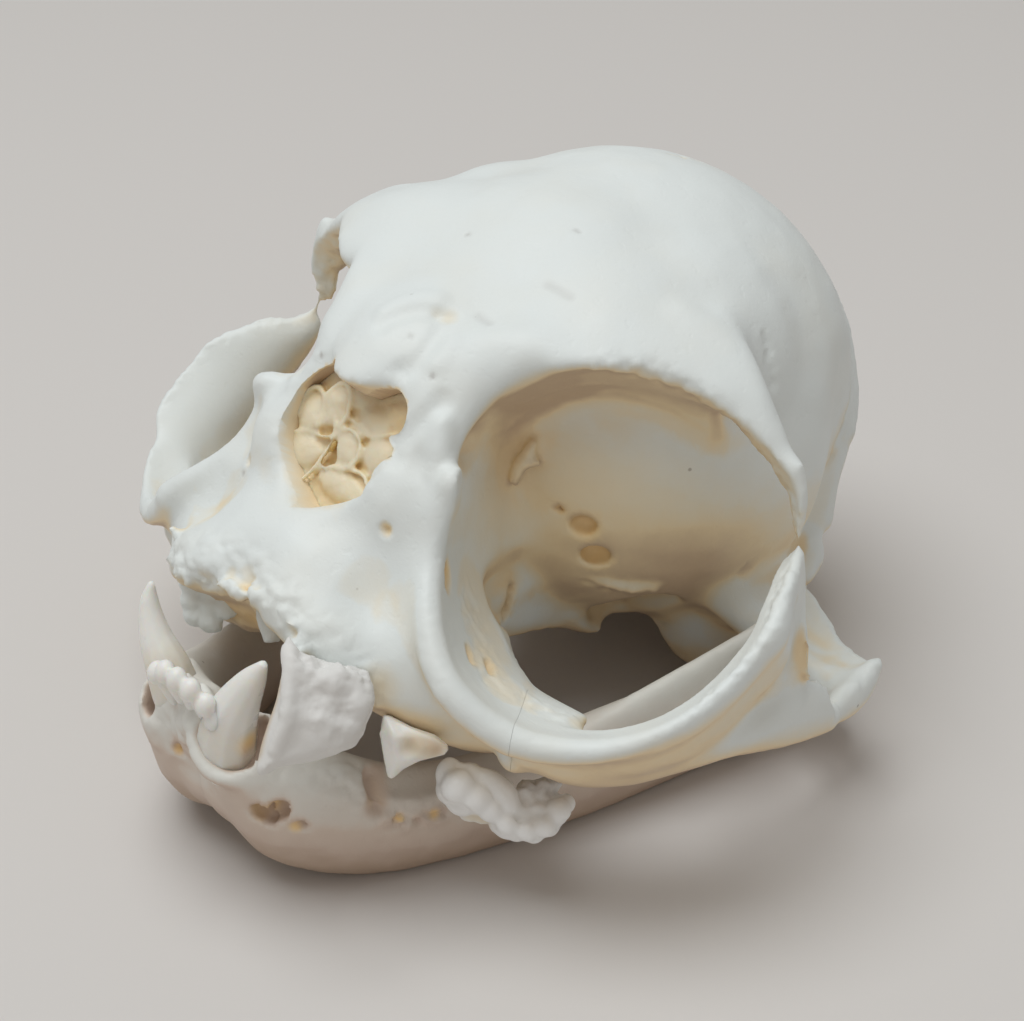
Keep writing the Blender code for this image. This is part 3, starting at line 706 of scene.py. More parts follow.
# Surfaces: the colours that aren't the settings' own (white, cream, tan, brown, amber), roughness, glow;
# cream, tan and brown are painted warm shade and bounce light, amber is painted glow of light through thin
# bone
SURFACES = {
    "bleached_bone": ((), 0.5, 0),
    # darker, pinker copy of the bone: painted warm shade and bounce light on the lower jaw
    "jaw_bone_warm_shaded": (
        ((0.78, 0.78, 0.74), (0.69, 0.585, 0.50), (0.60, 0.48, 0.40), (0.50, 0.38, 0.29)), 0.5, 0),
    "old_enamel": (
        ((0.86, 0.86, 0.83), (0.79, 0.73, 0.62), (0.64, 0.52, 0.36), (0.56, 0.42, 0.26)), 0.32, 0.5),
    "chalky_tartar": (
        ((0.76, 0.755, 0.74), (0.70, 0.64, 0.56), (0.62, 0.52, 0.40), (0.54, 0.42, 0.30)), 0.6, 0),
    "white_crust": (
        ((0.90, 0.91, 0.91), (0.82, 0.78, 0.68), (0.70, 0.60, 0.44), (0.60, 0.46, 0.32)), 0.45, 0),
    "thin_scroll_bone": (
        ((0.84, 0.76, 0.58), (0.80, 0.66, 0.42), (0.74, 0.57, 0.30), (0.66, 0.46, 0.20), (0.70, 0.48, 0.18)),
        0.4, 0.5),
}


def surface(name, settings):
    """One of the skull's surfaces, made the first time that it is asked for."""
    found = bpy.data.materials.get(name)
    if found:
        return found
    colours, roughness, glow = SURFACES[name]
    own = [tuple(c) for c in (settings.white, settings.cream, settings.tan, settings.brown, settings.amber)]
    return bone_material(name, *colours, *own[len(colours):], roughness, glow)


def floor_material(colour):
    """Smooth pale table, very faintly clouded."""
    n = Nodes("pale_table")
    place = n.add("TexCoord").outputs["Object"]
    cloud = n.noise(place, 3, 3)
    n.link(n.blend(n.remap(cloud, 0.3, 0.7), colour, tuple(c * 0.985 for c in colour)),
           n.shader.inputs["Base Color"])
    n.shader.inputs["Roughness"].default_value = 0.75
    return n.material


def dress(piece, name, node, finish):
    """Name the finished piece, hand it to its body and give it its surface."""
    piece.name = name
    piece.data.name = name
    piece.data.materials.clear()
    piece.data.materials.append(finish)
    activate(piece)
    bpy.ops.object.shade_smooth_by_angle(angle=math.radians(SOFT_ANGLE))
    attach(piece, "root")
    if node:
        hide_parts(node)


# ---- the orbit ---------------------------------------------------------------------
def orbit_rim():
    """Closed loop of points round the left orbit."""
    return smooth_path(RIM_LOWER, 6) + smooth_path(RIM_UPPER, 6)


def orbit_mouth(side):
    """Shallow plug that trims the rim to a clean edge."""
    rim = orbit_rim()
    centre = sum(rim, Vector()) / len(rim)
    depth = Vector(ORBIT_APEX) - centre
    rings = []
    for step, spread in ((-0.4, 1.12), (-0.15, 1.04), (0, 1.0), (0.08, 0.985), (0.2, 0.94), (0.3, 0.86)):
        rings.append([centre + depth * step + (p - centre) * spread for p in rim])
    return loft(rings, side)


# ---- forms of the upper skull ------------------------------------------------------
def brow_wing(side):
    """Broad process of the brow that ends behind the tip of the cheekbone."""
    rim = [(16.2, 25.6, 40.2), (21.4, 29.2, 37.8), (25.6, 31.4, 32.4), (28.0, 31.3, 26.9)]
    border = [(16.4, 36.6, 40.6), (21.6, 33.7, 38.4), (26.9, 31.3, 34.9), (28.6, 31.2, 30.5),
              (28.2, 31.3, 26.9)]
    return [plate(rim, border, [4.6, 3.2, 2.3, 1.9, 1.1], side)]


def eye_rim(side):
    """Raised edge of the orbit, laid round the outside of its mouth, with the tear duct's knob."""
    rim = orbit_rim()
    centre = sum(rim, Vector()) / len(rim)
    path = smooth_path(RIM_LOWER, 4)
    sizes = evenly([0.8, 1.0, 1.2, 1.35, 1.35, 1.0, 0.65, 0.55, 0.5, 0.5], len(path))
    band = [p + (p - centre).normalized() * r for p, r in zip(path, sizes)]
    upper = smooth_path(RIM_UPPER[1:5], 4)
    brow = [p + (p - centre).normalized() * 0.7 for p in upper]
    knobs = {1: ((11.2, 10.7, 33.0), (1.35, 1.5, 1.9)),
             -1: ((-10.5, 10.6, 33.4), (1.0, 1.4, 1.9), (0, 20, 0))}
    return [
        ball(*knobs[side]),
        rod(band, sizes, side, 1),
        rod(brow, [0.8] * len(brow), side, 1),
        rod([(27.9, 31.0, 34.0), (28.6, 30.9, 30.8), (28.2, 31.0, 27.2)], [0.7, 0.8, 0.8], side),
    ]


def face_slope(side):
    """Bone between the bridge of the nose and the inner edge of the orbit."""
    edge = [(10.2, 12.0, 33.6), (9.7, 13.8, 35.4), (9.7, 16.2, 37.2), (11.0, 18.8, 38.9), (13.4, 21.4, 39.8)]
    bridge = [(6.4, 10.4, 35.0), (4.2, 12.4, 38.4), (4.0, 15.2, 40.4), (6.0, 19.0, 41.8), (9.6, 22.4, 42.6)]
    return [plate(edge, bridge, [2.6, 3.0, 3.2, 3.0, 2.6], side)]


def gum_lumps():
    """Crumbling bone along the front of the upper jaw, round the empty sockets."""
    spread = np.random.RandomState(8)
    pieces = balls(((-1.0, -0.7, 25.2), (2.2, 1.4, 1.5)), ((1.2, -0.6, 25.6), (2.0, 1.3, 1.4)))
    margin = [(-11.4, -0.4, 22.2), (-9.2, -1.6, 22.4), (-6.6, -2.5, 23.0), (-3.8, -2.7, 24.0),
              (-1.4, -2.0, 23.8), (0.8, -2.1, 24.4), (2.8, -1.8, 25.0), (4.8, -1.7, 25.6), (6.6, -1.6, 25.6),
              (7.6, -2.3, 24.4), (7.9, -2.7, 23.0)]
    for p in evenly([Vector(m) for m in margin], 52):
        size = spread.uniform(0.35, 0.8)
        stretch = spread.uniform(0.8, 1.5)
        offset = Vector(spread.uniform(-0.45, 0.45, 3)) + Vector((0, 0.25, 0.1))
        pieces.append(ball(p + offset, (size, size * 0.9, size * stretch)))
    for p in evenly([Vector(q) for q in ((-12.6, 1.6, 22.4), (-8.4, -1.0, 24.0), (-3.6, -1.9, 25.4),
                                         (1.4, -1.2, 26.0))], 16):
        size = spread.uniform(0.4, 0.75)
        pieces.append(ball(p + Vector(spread.uniform(-0.7, 0.7, 3)), (size, size, size)))
    return pieces


def palate_front():
    """Ragged front of the palate, seen between the sockets and the lower jaw."""
    top = [(-11.0, 1.2, 19.4), (-7.4, 0.6, 20.4), (-3.4, 0.4, 21.4), (0.4, 0.2, 22.6), (4.4, 0.2, 23.4),
           (7.2, 0.4, 22.8)]
    foot = [(-12.2, 2.8, 15.0), (-8.6, 2.6, 15.4), (-5.2, 2.4, 16.0), (-2.0, 2.0, 17.2), (2.4, 1.0, 19.6),
            (6.4, 0.8, 20.6)]
    return [plate(top, foot, [2.4, 2.0, 2.0, 2.0, 2.0, 2.0])]


def arch_shelf(side):
    """Hollow shelf of the cheek arch's root with its curled outer rim."""
    rear = [(20.0, 43.6, 9.6), (22.2, 43.2, 9.0), (26.0, 42.8, 9.4), (29.0, 41.6, 10.2), (30.6, 40.4, 11.2)]
    front = [(22.0, 38.6, 7.2), (24.6, 38.2, 6.6), (27.6, 37.6, 7.2), (29.6, 36.4, 8.2), (30.6, 34.8, 9.6)]
    wall_top = [(30.7, 40.6, 11.1), (30.6, 38.6, 10.0), (30.9, 35.6, 9.8), (31.4, 32.0, 11.5)]
    wall_foot = [(30.7, 40.0, 8.7), (30.0, 38.2, 7.0), (30.3, 34.8, 7.8), (31.0, 30.4, 9.6)]
    curl = [(30.6, 41.0, 11.2), (30.4, 39.2, 10.8), (30.3, 37.6, 9.8), (31.0, 35.0, 9.8)]
    return [plate(rear, front, [1.8, 1.7, 1.7, 1.6, 1.4], side),
            plate(wall_top, wall_foot, [1.5, 1.5, 1.6, 2.0], side),
            rod(curl, [0.7, 0.8, 0.8, 0.8], side)]


def break_edges(whole):
    """Cut the ragged front of the palate and the open corners of the right orbit, as the viewer sees them."""
    ragged = [(-6.7, 3.5), (-4.6, 1.2), (-2.8, 0.4), (-1.5, -1.0), (-1.1, -2.3), (0.0, -3.1), (1.1, -2.8),
              (2.3, -3.6), (3.3, -3.9), (3.8, -7.5), (-6.7, -7.5)]
    cut(whole, view_block((-7, 1.5, 19.5), ragged, 3.6, -14))
    wedge = [(7.4, 2.6), (6.2, 0.4), (4.8, -1.4), (3.4, -2.7), (2.3, -3.9), (4.8, -5.5), (9.4, -2.8),
             (9.9, 1.8)]
    far_orbit = (-30, 22, 25)
    cut(whole, view_block(far_orbit, wedge, 8, -9))
    corner = [(2.6, -6.1), (1.3, -6.4), (0.2, -7.2), (-0.1, -8.3), (-0.1, -9.2), (0.8, -9.3), (2.3, -8.7),
              (4.4, -7.4)]
    cut(whole, view_block(far_orbit, corner, 10, -9))


def orbit_floor(side):
    """Thin floor of the orbit, from its lower rim back to the gap above the lower jaw."""
    front = [(10.6, 12.6, 20.4), (13.6, 10.2, 19.6), (17.0, 8.8, 18.6), (20.6, 8.8, 17.6), (24.4, 10.6, 16.8)]
    rear = [(7.9, 19.4, 13.2), (11.0, 16.9, 13.2), (14.4, 15.3, 13.6), (18.0, 14.9, 14.1), (22.0, 14.8, 14.4)]
    return [plate(front, rear, [1.7, 1.5, 1.4, 1.4, 1.4], side)]


def nose_fill():
    """Closes the frame's nasal opening, so that its true edge can be cut."""
    loop = [(0, 27.6), (3.6, 28.8), (6.2, 31.0), (7.2, 34.0), (6.6, 37.2), (4.2, 38.8), (0, 38.6),
            (-3.2, 38.8), (-5.8, 37.0), (-6.8, 34.0), (-6.2, 31.0), (-3.6, 28.8)]
    rings = [[nose_place(x, z, depth) for x, z in loop] for depth in (0.2, 3.0, 6.0)]
    return [loft(rings)]


def nose_place(x, z, depth):
    """Point on the flat slope that the nasal opening lies in, or so deep behind it."""
    (foot_y, foot_z), (in_y, in_z) = NOSE_FOOT, NOSE_INWARD
    return Vector((x, foot_y + (z - foot_z) * NOSE_LEAN + depth * in_y, z + depth * in_z))


def on_nose(*spots):
    """Line through points of the nose's slope."""
    return [nose_place(*spot) for spot in spots]


def nose_ring(points, depth, spread):
    """Ring on the nose's slope, drawn in or out from the middle of its opening."""
    return [nose_place(x * spread, NOSE_MIDDLE + (z - NOSE_MIDDLE) * spread, depth) for x, z in points]


def nose_cutter():
    """Nasal opening with its broken, uneven edge, narrowing a little as it runs back."""
    loop = [(x, z) for x, z, _ in smooth_path([(x, z, 0) for x, z in NOSE_EDGE + NOSE_EDGE[:1]], 3)[:-1]]
    return loft([nose_ring(loop, depth, spread) for depth, spread in (
        (-4, 1.0), (-0.6, 1.0), (0.6, 1.0), (2.0, 1.0), (4.0, 1.02), (6.5, 0.98), (9.0, 0.86))])


# ---- pieces ------------------------------------------------------------------------
def upper_skull():
    """Cranium and cheekbones as one clay, so that their surfaces meet flush."""
    pieces = [copy_node(n) for n in ("cranium", "zygomatic_left", "zygomatic_right")]
    for side in (1, -1):
        cut(pieces[0], ball((26.6, 41.6, 13.6), (6.0, 5.4, 4.3), (0, -12, 0), side=side))
        cut(pieces[0], rod([(7.0, 31.6, 8.6), (11.0, 31.6, 11.6), (14.4, 32.6, 13.4)], [2.4, 2.6, 2.2], side))
    pieces += nose_fill() + palate_front()
    for side in (1, -1):
        pieces += brow_wing(side) + eye_rim(side) + face_slope(side) + arch_shelf(side) + orbit_floor(side)
        pieces += balls(((22.2, 7.6, 16.6), (1.6, 1.6, 2.6)), ((20.6, 8.0, 14.4), (1.6, 1.6, 2.0)), side=side)
        pieces.append(rod([(6.9, 27.5, 11.5), (7.0, 29.4, 9.0), (7.2, 31.4, 7.4)], [1.0, 0.8, 0.5], side))
    pieces.append(rod([(-28.6, 32.6, 32.4), (-28.5, 31.9, 30.4), (-27.9, 31.0, 28.6), (-27.5, 30.5, 27.0)],
                      [0.9, 1.15, 1.15, 0.7]))
    pieces.append(ball((-26.9, 31.0, 33.4), (1.5, 1.2, 3.2)))
    socket = (15.1, 1.5, 15.8)
    pieces.append(rod(drawn(socket, (-0.9, 2.2, -1.1), (1.4, 1.5, -1.3), (3.2, 0.5, -1.8)), [0.8, 0.9, 0.8]))
    for side in (1, -1):
        pieces += balls(((15.8, 48.8, 11.8), (1.9, 2.2, 3.0)), ((16.2, 47.4, 10.6), (1.7, 2.0, 2.0)),
                        side=side)
    whole = melt(pieces, 0.55, 4)
    clay = Clay(whole)
    for side in (1, -1):
        clay.shift([(31.3, 31.6, 21.4), (31.8, 31.4, 17.6)], 3.6, (1.3, -2.6, 0), side)
        clay.relax([(16.4, 37.0, 40.6), (20.6, 36.0, 37.0), (24.6, 33.5, 35.5)], 4, 16, side)
    for path, radius, move in (
            ([(-24.5, 7.2, 18.6), (-29.0, 10.5, 19.0)], 6.5, (1.15, 1.15, 0.1)),
            ([(-31.9, 13.4, 20.8), (-33.4, 18.6, 23.6), (-32.8, 23.2, 26.4)], 5.0, (0.75, 0.3, -0.3)),
            ([(33.4, 22.6, 24.4), (33.2, 24.4, 20.0)], 3.4, (0.5, 0.3, 0)),
            ([(18.8, 49.9, 27.0), (18.4, 50.1, 22.6), (16.6, 51.6, 17.4)], 8, (-1.0, -1.0, 0)),
            ([(-18.4, 50.1, 22.6), (-16.6, 51.6, 17.4)], 8, (1.0, -1.0, 0)),
            ([(-16.9, 26.4, 41.3), (-13.0, 27.6, 43.5)], 6, (-0.5, -0.2, 0.9)),
            ([(-19.4, 2.3, 21.6), (-21.4, 3.6, 20.4)], 4.4, (1.2, 1.0, 0)),
            ([(-9.7, 14.6, 36.0), (-9.9, 16.6, 37.4), (-11.4, 19.4, 39.0)], 4.0, (1.75, 0.9, -0.1)),
            ([(-7.4, 12.4, 37.4), (-9.0, 11.6, 36.0)], 3.0, (0.75, 0.0, -0.85)),
            ([(-11.0, 8.4, 31.6), (-10.4, 7.0, 30.0)], 2.8, (0.75, 0.7, 0))):
        clay.shift(path, radius, move)
    for path, radius, rounds in (
            ([(0, 13.0, 41), (2.2, 16.4, 42.4), (1.0, 14.4, 41.8)], 4.6, 22),
            ([(-16, 28, 42.5), (-8, 26, 44), (0, 24, 44.4), (8, 26, 44), (16, 28, 42.5)], 8, 30),
            ([(0, 19, 43), (0, 34, 46.5)], 7, 20)):
        clay.relax(path, radius, rounds)
    clay.shift([(-27.6, 30.4, 27.0), (-28.2, 31.3, 28.6)], 2.2, (0.1, 0.2, 0.5))
    clay.write()
    return whole


def sculpt_upper(clay):
    """Brush strokes on the cranium and cheekbones, from the nose to the back of the head."""
    sculpt_margin(clay)
    sculpt_nose_bridge(clay)
    smooth_far_cheek(clay)
    for side in (1, -1):
        sculpt_brow(clay, side)
        sculpt_cheek(clay, side)
        sculpt_orbit(clay, side)
    sculpt_back(clay)


def sculpt_margin(clay):
    """Crumbling front edge of the upper jaw and its hollow sockets."""
    front = [(-11.4, -0.4, 22.4), (-6.6, -2.5, 23.2), (-1.4, -2.0, 24.0), (4.8, -1.7, 25.6),
             (7.8, -2.6, 23.2)]
    clay.relax(front, 3.4, 4)
    clay.crumble(front, 2.6, 0.34, 0.7, 3)
    clay.crumble([(-11.5, 0.5, 22.6), (-5.9, -1.0, 25.8), (0.9, -0.3, 26.8)], 2.4, 0.16, 0.8, 61)
    clay.crumble([(8.7, 0, 24.9), (10.8, 0.1, 23.1), (12.9, 0.8, 20.0), (13.2, 1.2, 18.1)], 1.8, 0.16, 0.8,
                 62)
    clay.crumble([(-9, 1.4, 19.6), (-3, 1.0, 19.4), (3, 0.6, 20.4)], 4.0, 0.35, 1.2, 63)
    clay.push([(4.6, -0.8, 22.6), (6.0, -0.6, 21.6)], 1.8, -0.9)
    # painted warm shade and amber glow inside the mouth behind the sockets, and painted warm shade round the
    # left premolar's socket
    clay.tint(WARM_SHADE, [(-9, 1.2, 19.6), (-3, 0.8, 19.6), (4, 0.4, 21.4)], 3.6, 0.9)
    clay.tint(AMBER_GLOW, [(-6, 1.0, 19.6), (0, 0.6, 20.2), (5.4, -0.4, 21.8)], 2.4, 0.5)
    clay.tint(WARM_SHADE, [(12.9, 0.8, 20.4), (13.2, 1.2, 18.1), (15.6, 3.2, 16.6)], 2.6, 0.55)


def sculpt_nose_bridge(clay):
    """Folds, furrows and small openings between the nose, the brows and the cheeks."""
    fold = [(-0.3, 14.0, 42.1), (-0.1, 14.9, 42.5), (0.4, 15.7, 42.7), (1.1, 16.7, 42.9), (2.2, 17.5, 42.8)]
    clay.push([Vector(p) + Vector((-0.7, 0.9, 0.3)) for p in fold], 1.6, 0.34)
    clay.push([Vector(p) + Vector((0.5, -0.5, 0)) for p in fold], 1.3, -0.36)
    clay.push([(2.9, 17.4, 42.3), (3.6, 17.9, 42.0)], 1.1, -0.35)
    # painted warm shade in the pit
    clay.tint(WARM_SHADE, [(3.4, 17.8, 42.1)], 1.2, 0.45)
    clay.push([(4.0, 16.5, 41.6), (4.4, 15.4, 41.0), (4.6, 14.3, 40.5), (4.2, 13.1, 39.7), (3.6, 12.4, 39.6)],
              1.3, -0.22)
    clay.push([(5.4, 16.2, 41.2), (5.6, 14.4, 40.2)], 1.6, 0.25)
    clay.push([(7.8, 13.0, 38.3), (7.1, 11.1, 36.8), (5.9, 9.8, 34.9), (6.3, 9.2, 34.2)], 1.4, -0.32)
    clay.push([(8.6, 12.1, 37.0), (9.2, 11.4, 35.6), (9.4, 10.6, 33.5)], 1.5, 0.45)
    clay.push([(-7.6, 12.4, 37.6), (-6.9, 10.8, 36.0)], 1.2, -0.25)
    for place, radius, depth in (((8.3, 6.3, 29.9), 0.75, -0.55), ((-8.3, 6.0, 29.2), 0.65, -0.5)):
        clay.push([place], radius, depth)
        # painted amber glow of light through the opening
        clay.tint(AMBER_GLOW, [place], radius, 0.55)
    clay.crumble([(-6.6, 8, 32), (-7, 10.4, 36), (-3, 12.6, 39), (4, 12.8, 39.2)], 2.4, 0.07, 0.9, 64)
    # painted warm shade along the lower right rim of the nasal opening
    clay.tint(WARM_SHADE, [(-6.6, 7.0, 30.0), (-3.0, 5.6, 28.0)], 1.8, 0.35)
    for place in ((-1.1, 11.8, 40.6), (2.7, 14.5, 41.5), (6.2, 13.5, 39.6), (-4.9, 11.7, 37.9),
                  (-8.4, 5.6, 28.1), (-2.5, 25.5, 44.6), (5.1, 30.4, 45.8)):
        clay.push([place], 0.45, -0.12)
        clay.tint(STAIN, [place], 0.4, 0.8)
    for path in (((7.3, 24.9, 43.7), (8.6, 24.9, 43.7), (9.7, 24.9, 43.6)),
                 ((5.1, 19.6, 42.0), (6.4, 19.4, 41.9))):
        clay.push(path, 0.8, -0.08)
        clay.tint(STAIN, path, 0.7, 0.25)


def sculpt_brow(clay, side):
    """Beaded edge of the brow and the cracked side of its process."""
    edge = [(15.0, 22.7, 40.2), (17.7, 25.5, 39.5), (20.7, 27.9, 37.9), (23.5, 29.5, 35.8),
            (25.8, 30.8, 33.0), (28.0, 31.0, 28.6)]
    clay.crumble(edge, 1.9, 0.22, 0.75, 65 + side, side)
    clay.push([(16, 31, 41.8), (20.5, 32, 38.8), (25, 31.6, 35)], 2.4, 0.3, side)
    clay.push([(18.8, 37.8, 38.6), (19.3, 37.9, 37.6), (19.7, 37.3, 36.8), (20.2, 37.7, 34.7)], 0.7, -0.25,
              side)
    clay.crumble([(18.8, 37.8, 38.6), (20.2, 37.7, 34.7)], 1.5, 0.1, 0.6, 67, side)


def sculpt_cheek(clay, side):
    """Groove and spurs of the cheekbone, and the curled edge of the arch's root."""
    clay.push([(32.3, 27.2, 24.0), (32.6, 28.4, 20.5), (32.4, 29.5, 17.5)], 1.2, -0.3, side)
    clay.crumble([(31.2, 31.4, 16.4), (31.4, 32.6, 12.6)], 1.8, 0.3, 0.7, 68, side)
    clay.crumble([(33.0, 15.0, 21.7), (33.9, 20.0, 24.6), (32.1, 24.2, 26.2), (29.9, 28.6, 26.0)], 1.7, 0.14,
                 0.6, 58, side)
    clay.push([(33.0, 24.0, 24.6), (31.4, 27.0, 25.6), (30.2, 29.0, 25.6)], 0.6, -0.2, side)
    clay.crumble([(30.7, 41.0, 11.4), (31.2, 36.6, 10.8), (30.6, 36.0, 7.8)], 1.6, 0.14, 0.8, 69, side)
    clay.crumble([(18, 5.4, 18.6), (23, 5.4, 17.0), (28, 9, 15.6)], 3.0, 0.08, 1.1, 70, side)


def smooth_far_cheek(clay):
    """Fill and smooth the inner face of the right cheekbone."""
    inner = [(-29.9, 17.6, 18.6), (-30.2, 20.4, 19.8), (-30.0, 23.0, 21.0), (-29.4, 26.0, 22.8),
             (-28.8, 28.2, 24.4)]
    clay.push(inner, 4.0, 0.8, facing=(1, -0.2, 0.2))
    step = [(-29.6, 14.2, 18.4), (-30.6, 17.2, 19.8), (-31.1, 20.5, 22.0), (-31.3, 22.4, 23.6),
            (-31.3, 24.8, 25.4), (-30.0, 28.0, 25.8)]
    clay.relax(step, 3.4, 45)
    clay.relax(inner, 4.4, 20)


def sculpt_orbit(clay, side):
    """Cracks with painted shade in them, painted amber glow in the openings, painted warm light and shade
    over the inner walls, and crumbling floor inside the orbit.
    """
    clay.crumble([(11, 12.1, 21.9), (13.3, 11.2, 19.6), (15.7, 9.2, 19.2), (18.1, 9.2, 18.4),
                  (20, 10.4, 17.4), (22.1, 11.6, 16.9)], 3.0, 0.16, 0.8, 71, side)
    clay.crumble([(14, 14, 15.4), (11, 16.6, 14.0), (8.6, 18.6, 14.6)], 3.0, 0.16, 0.8, 79, side)
    for a, b in (((15.4, 8.3, 20.2), (14.6, 8.9, 20.6)), ((16.1, 9.6, 18.8), (15.2, 10.3, 19.0)),
                 ((7.1, 20.8, 17.0), (7.0, 20.0, 14.6))):
        clay.push([a, b], 0.5, -0.9, side)
        # grey tint in the sunk cracks: painted shade
        clay.tint(STAIN, [a, b], 0.5, 0.7, side)
    for place, radius in (((11.9, 24.4, 23.5), 1.5), ((12.1, 25.6, 20.2), 1.5), ((10.3, 23.2, 25.0), 0.5),
                          ((12.0, 9.2, 26.0), 1.0)):
        # painted amber glow of light through the openings
        clay.tint(AMBER_GLOW, [place], radius * 1.25, 0.95, side)
    clay.push([(11.0, 26.0, 20.4)], 1.6, -0.4, side)
    # painted warm light and shade over the orbit's inner walls
    clay.tint(WARM_SHADE, [(9.5, 22, 27), (13, 27, 24), (18, 31, 20)], 12, 0.8, side, facing=(0.55, -0.8, -0.1))
    clay.push([(11.4, 27.0, 17.4), (13.0, 28.3, 16.6), (14.6, 29.6, 16.4)], 1.2, 0.5, side)
    clay.crumble([(11.0, 26.6, 17.2), (14.6, 29.6, 16.2)], 1.8, 0.25, 0.7, 72, side)


def sculpt_back(clay):
    """Crest over the back of the head, muscle marks and the roughened base."""
    crest = [(-14.6, 55, 21), (-10.6, 58.6, 27), (-5.4, 60.6, 31.4), (0, 61, 33), (5.4, 60.6, 31.4),
             (10.6, 58.6, 27), (14.6, 55, 21)]
    clay.push(crest, 1.7, 0.35)
    clay.crumble(crest, 2.4, 0.16, 0.9, 73)
    for side in (-1, 1):
        clay.push([(5, 61.0, 24), (6, 60, 17)], 3.4, -0.5, side)
    clay.push([(0, 60.6, 29), (0, 60.8, 18)], 1.2, 0.4)
    clay.stitch([(-15.6, 51.5, 19), (-12.6, 54.6, 27), (-7.5, 56.8, 32.4), (0, 57.2, 35), (7.5, 56.8, 32.4),
                 (12.6, 54.6, 27), (15.6, 51.5, 19)], 0.7, 0.14, 95)
    clay.stitch([(0, 57.0, 35), (0.2, 52, 40.6), (0, 47, 44)], 0.6, 0.12, 96)
    for side in (1, -1):
        clay.push([(6.5, 60, 19), (11, 57.4, 15)], 2.0, 0.4, side)
        clay.crumble([(3, 60.6, 26), (8, 59.6, 20), (12, 56.6, 14)], 4.2, 0.12, 1.2, 97, side)
        clay.crumble([(6, 54, 5), (9, 46, 3), (8, 36, 5)], 5.0, 0.12, 1.3, 98, side)
        clay.crumble([(17, 40, 24), (16, 48, 24)], 7.0, 0.06, 1.8, 99, side)


def orbit_openings(side):
    """Drills for the openings at the back and the front of the orbit."""
    inward = Vector((-0.5, 0.84, 0))
    reach = 1.25
    drills = [ball(Vector(place) - inward + inward * 1.3, (wide * reach, reach, high * reach), side=side)
              for place, wide, high in (((11.9, 24.2, 23.6), 0.85, 0.8), ((12.3, 25.3, 20.4), 1.0, 0.95),
                                        ((10.3, 23.2, 25.0), 0.3, 0.3))]
    return drills + [ball((12.0, 9.0, 26.0), (0.8, 1.0, 1.3), side=side)]


def orbit_spur():
    """Splinter that stands on the inner wall of the left orbit."""
    splinter = [(7.75, 20.35, 27.6), (8.0, 20.95, 29.2), (8.4, 21.75, 30.6), (8.4, 22.25, 31.3)]
    branch = [(8.0, 21.0, 29.2), (8.7, 21.3, 29.5), (9.2, 22.1, 29.5)]
    return join([rod(splinter, [0.45, 0.65, 0.5, 0.3]), rod(branch, [0.4, 0.45, 0.3])])


def grain_size(settings):
    """Voxel of the bones."""
    return settings.grain_fine


class CATSKULL_OT_upper(bpy.types.Operator):
    """Sculpt the cranium and the two cheekbones"""
    bl_idname = "catskull.upper"
    bl_label = "Cranium and Cheekbones"

    def execute(self, context):
        settings = context.scene.cat_skull
        whole = join([upper_skull()] + gum_lumps())
        for side in (1, -1):
            cut(whole, orbit_mouth(side))
            cut(whole, join(orbit_openings(side)))
        break_edges(whole)
        whole = join([whole, orbit_spur()])
        remesh(whole, grain_size(settings), rounds=2)
        cut(whole, nose_cutter())
        whole = biggest_body(whole)
        clay = Clay(whole)
        sculpt_upper(clay)
        clay.paint_hollow_shade(reach=22, floor=0.16, gain=2.3)
        clay.write()
        thin_out(whole, UPPER_FACES)
        cheeks = [part_of(whole, cheek_space(side, 0)) for side in (1, -1)]
        for side in (1, -1):
            cut(whole, cheek_space(side, HAIRLINE))
        hand_tints(clay, [whole] + cheeks)
        bone = surface("bleached_bone", settings)
        for side, cheek in zip((1, -1), cheeks):
            dress(cheek, "cheekbone_" + SIDE_NAME[side], "zygomatic_" + SIDE_NAME[side], bone)
        dress(whole, "cranium_bone", "cranium", bone)
        return {"FINISHED"}


def lower_jaw():
    """Both halves of the lower jaw as one clay, with a fuller chin and the fangs' collars."""
    pieces = [copy_node("mandible_left"), copy_node("mandible_right")]
    pieces += balls(
        ((-3.4, -5.6, 13.4), (2.3, 2.5, 3.4)), ((0.0, -6.2, 13.8), (2.4, 2.3, 3.8)),
        ((2.6, -5.6, 12.8), (2.6, 2.2, 3.6)), ((-1.6, -4.9, 8.6), (3.8, 2.6, 4.6)),
        ((1.8, -5.0, 8.8), (4.2, 2.6, 4.6)), ((4.0, -5.4, 10.4), (2.9, 2.5, 3.2)),
        ((6.6, -4.2, 10.6), (2.4, 2.4, 3.2)))
    centre = (3.7, -6.4, 13.2)
    pieces.append(rod(drawn(centre, (-3.3, 2.2, 0.6), (-2.8, 0.1, 1.4), (-1.7, -1.5, 1.9), (-0.1, -2.1, 2.0),
                            (1.5, -1.9, 1.8), (2.6, -1.0, 1.0)), [0.6, 0.7, 0.75, 0.75, 0.7, 0.5]))
    whole = melt(pieces, 0.45, 3)
    clay = Clay(whole)
    clay.shift([(-6.5, -4.6, 15), (-6.5, -4.2, 8)], 4.0, (0.6, 0.5, 0))
    clay.shift([(12.6, 1.6, 11.4), (14.6, 5.4, 10.6), (16.4, 10, 10.4)], 2.8, (0, 0, -1.5))
    clay.write()
    return whole


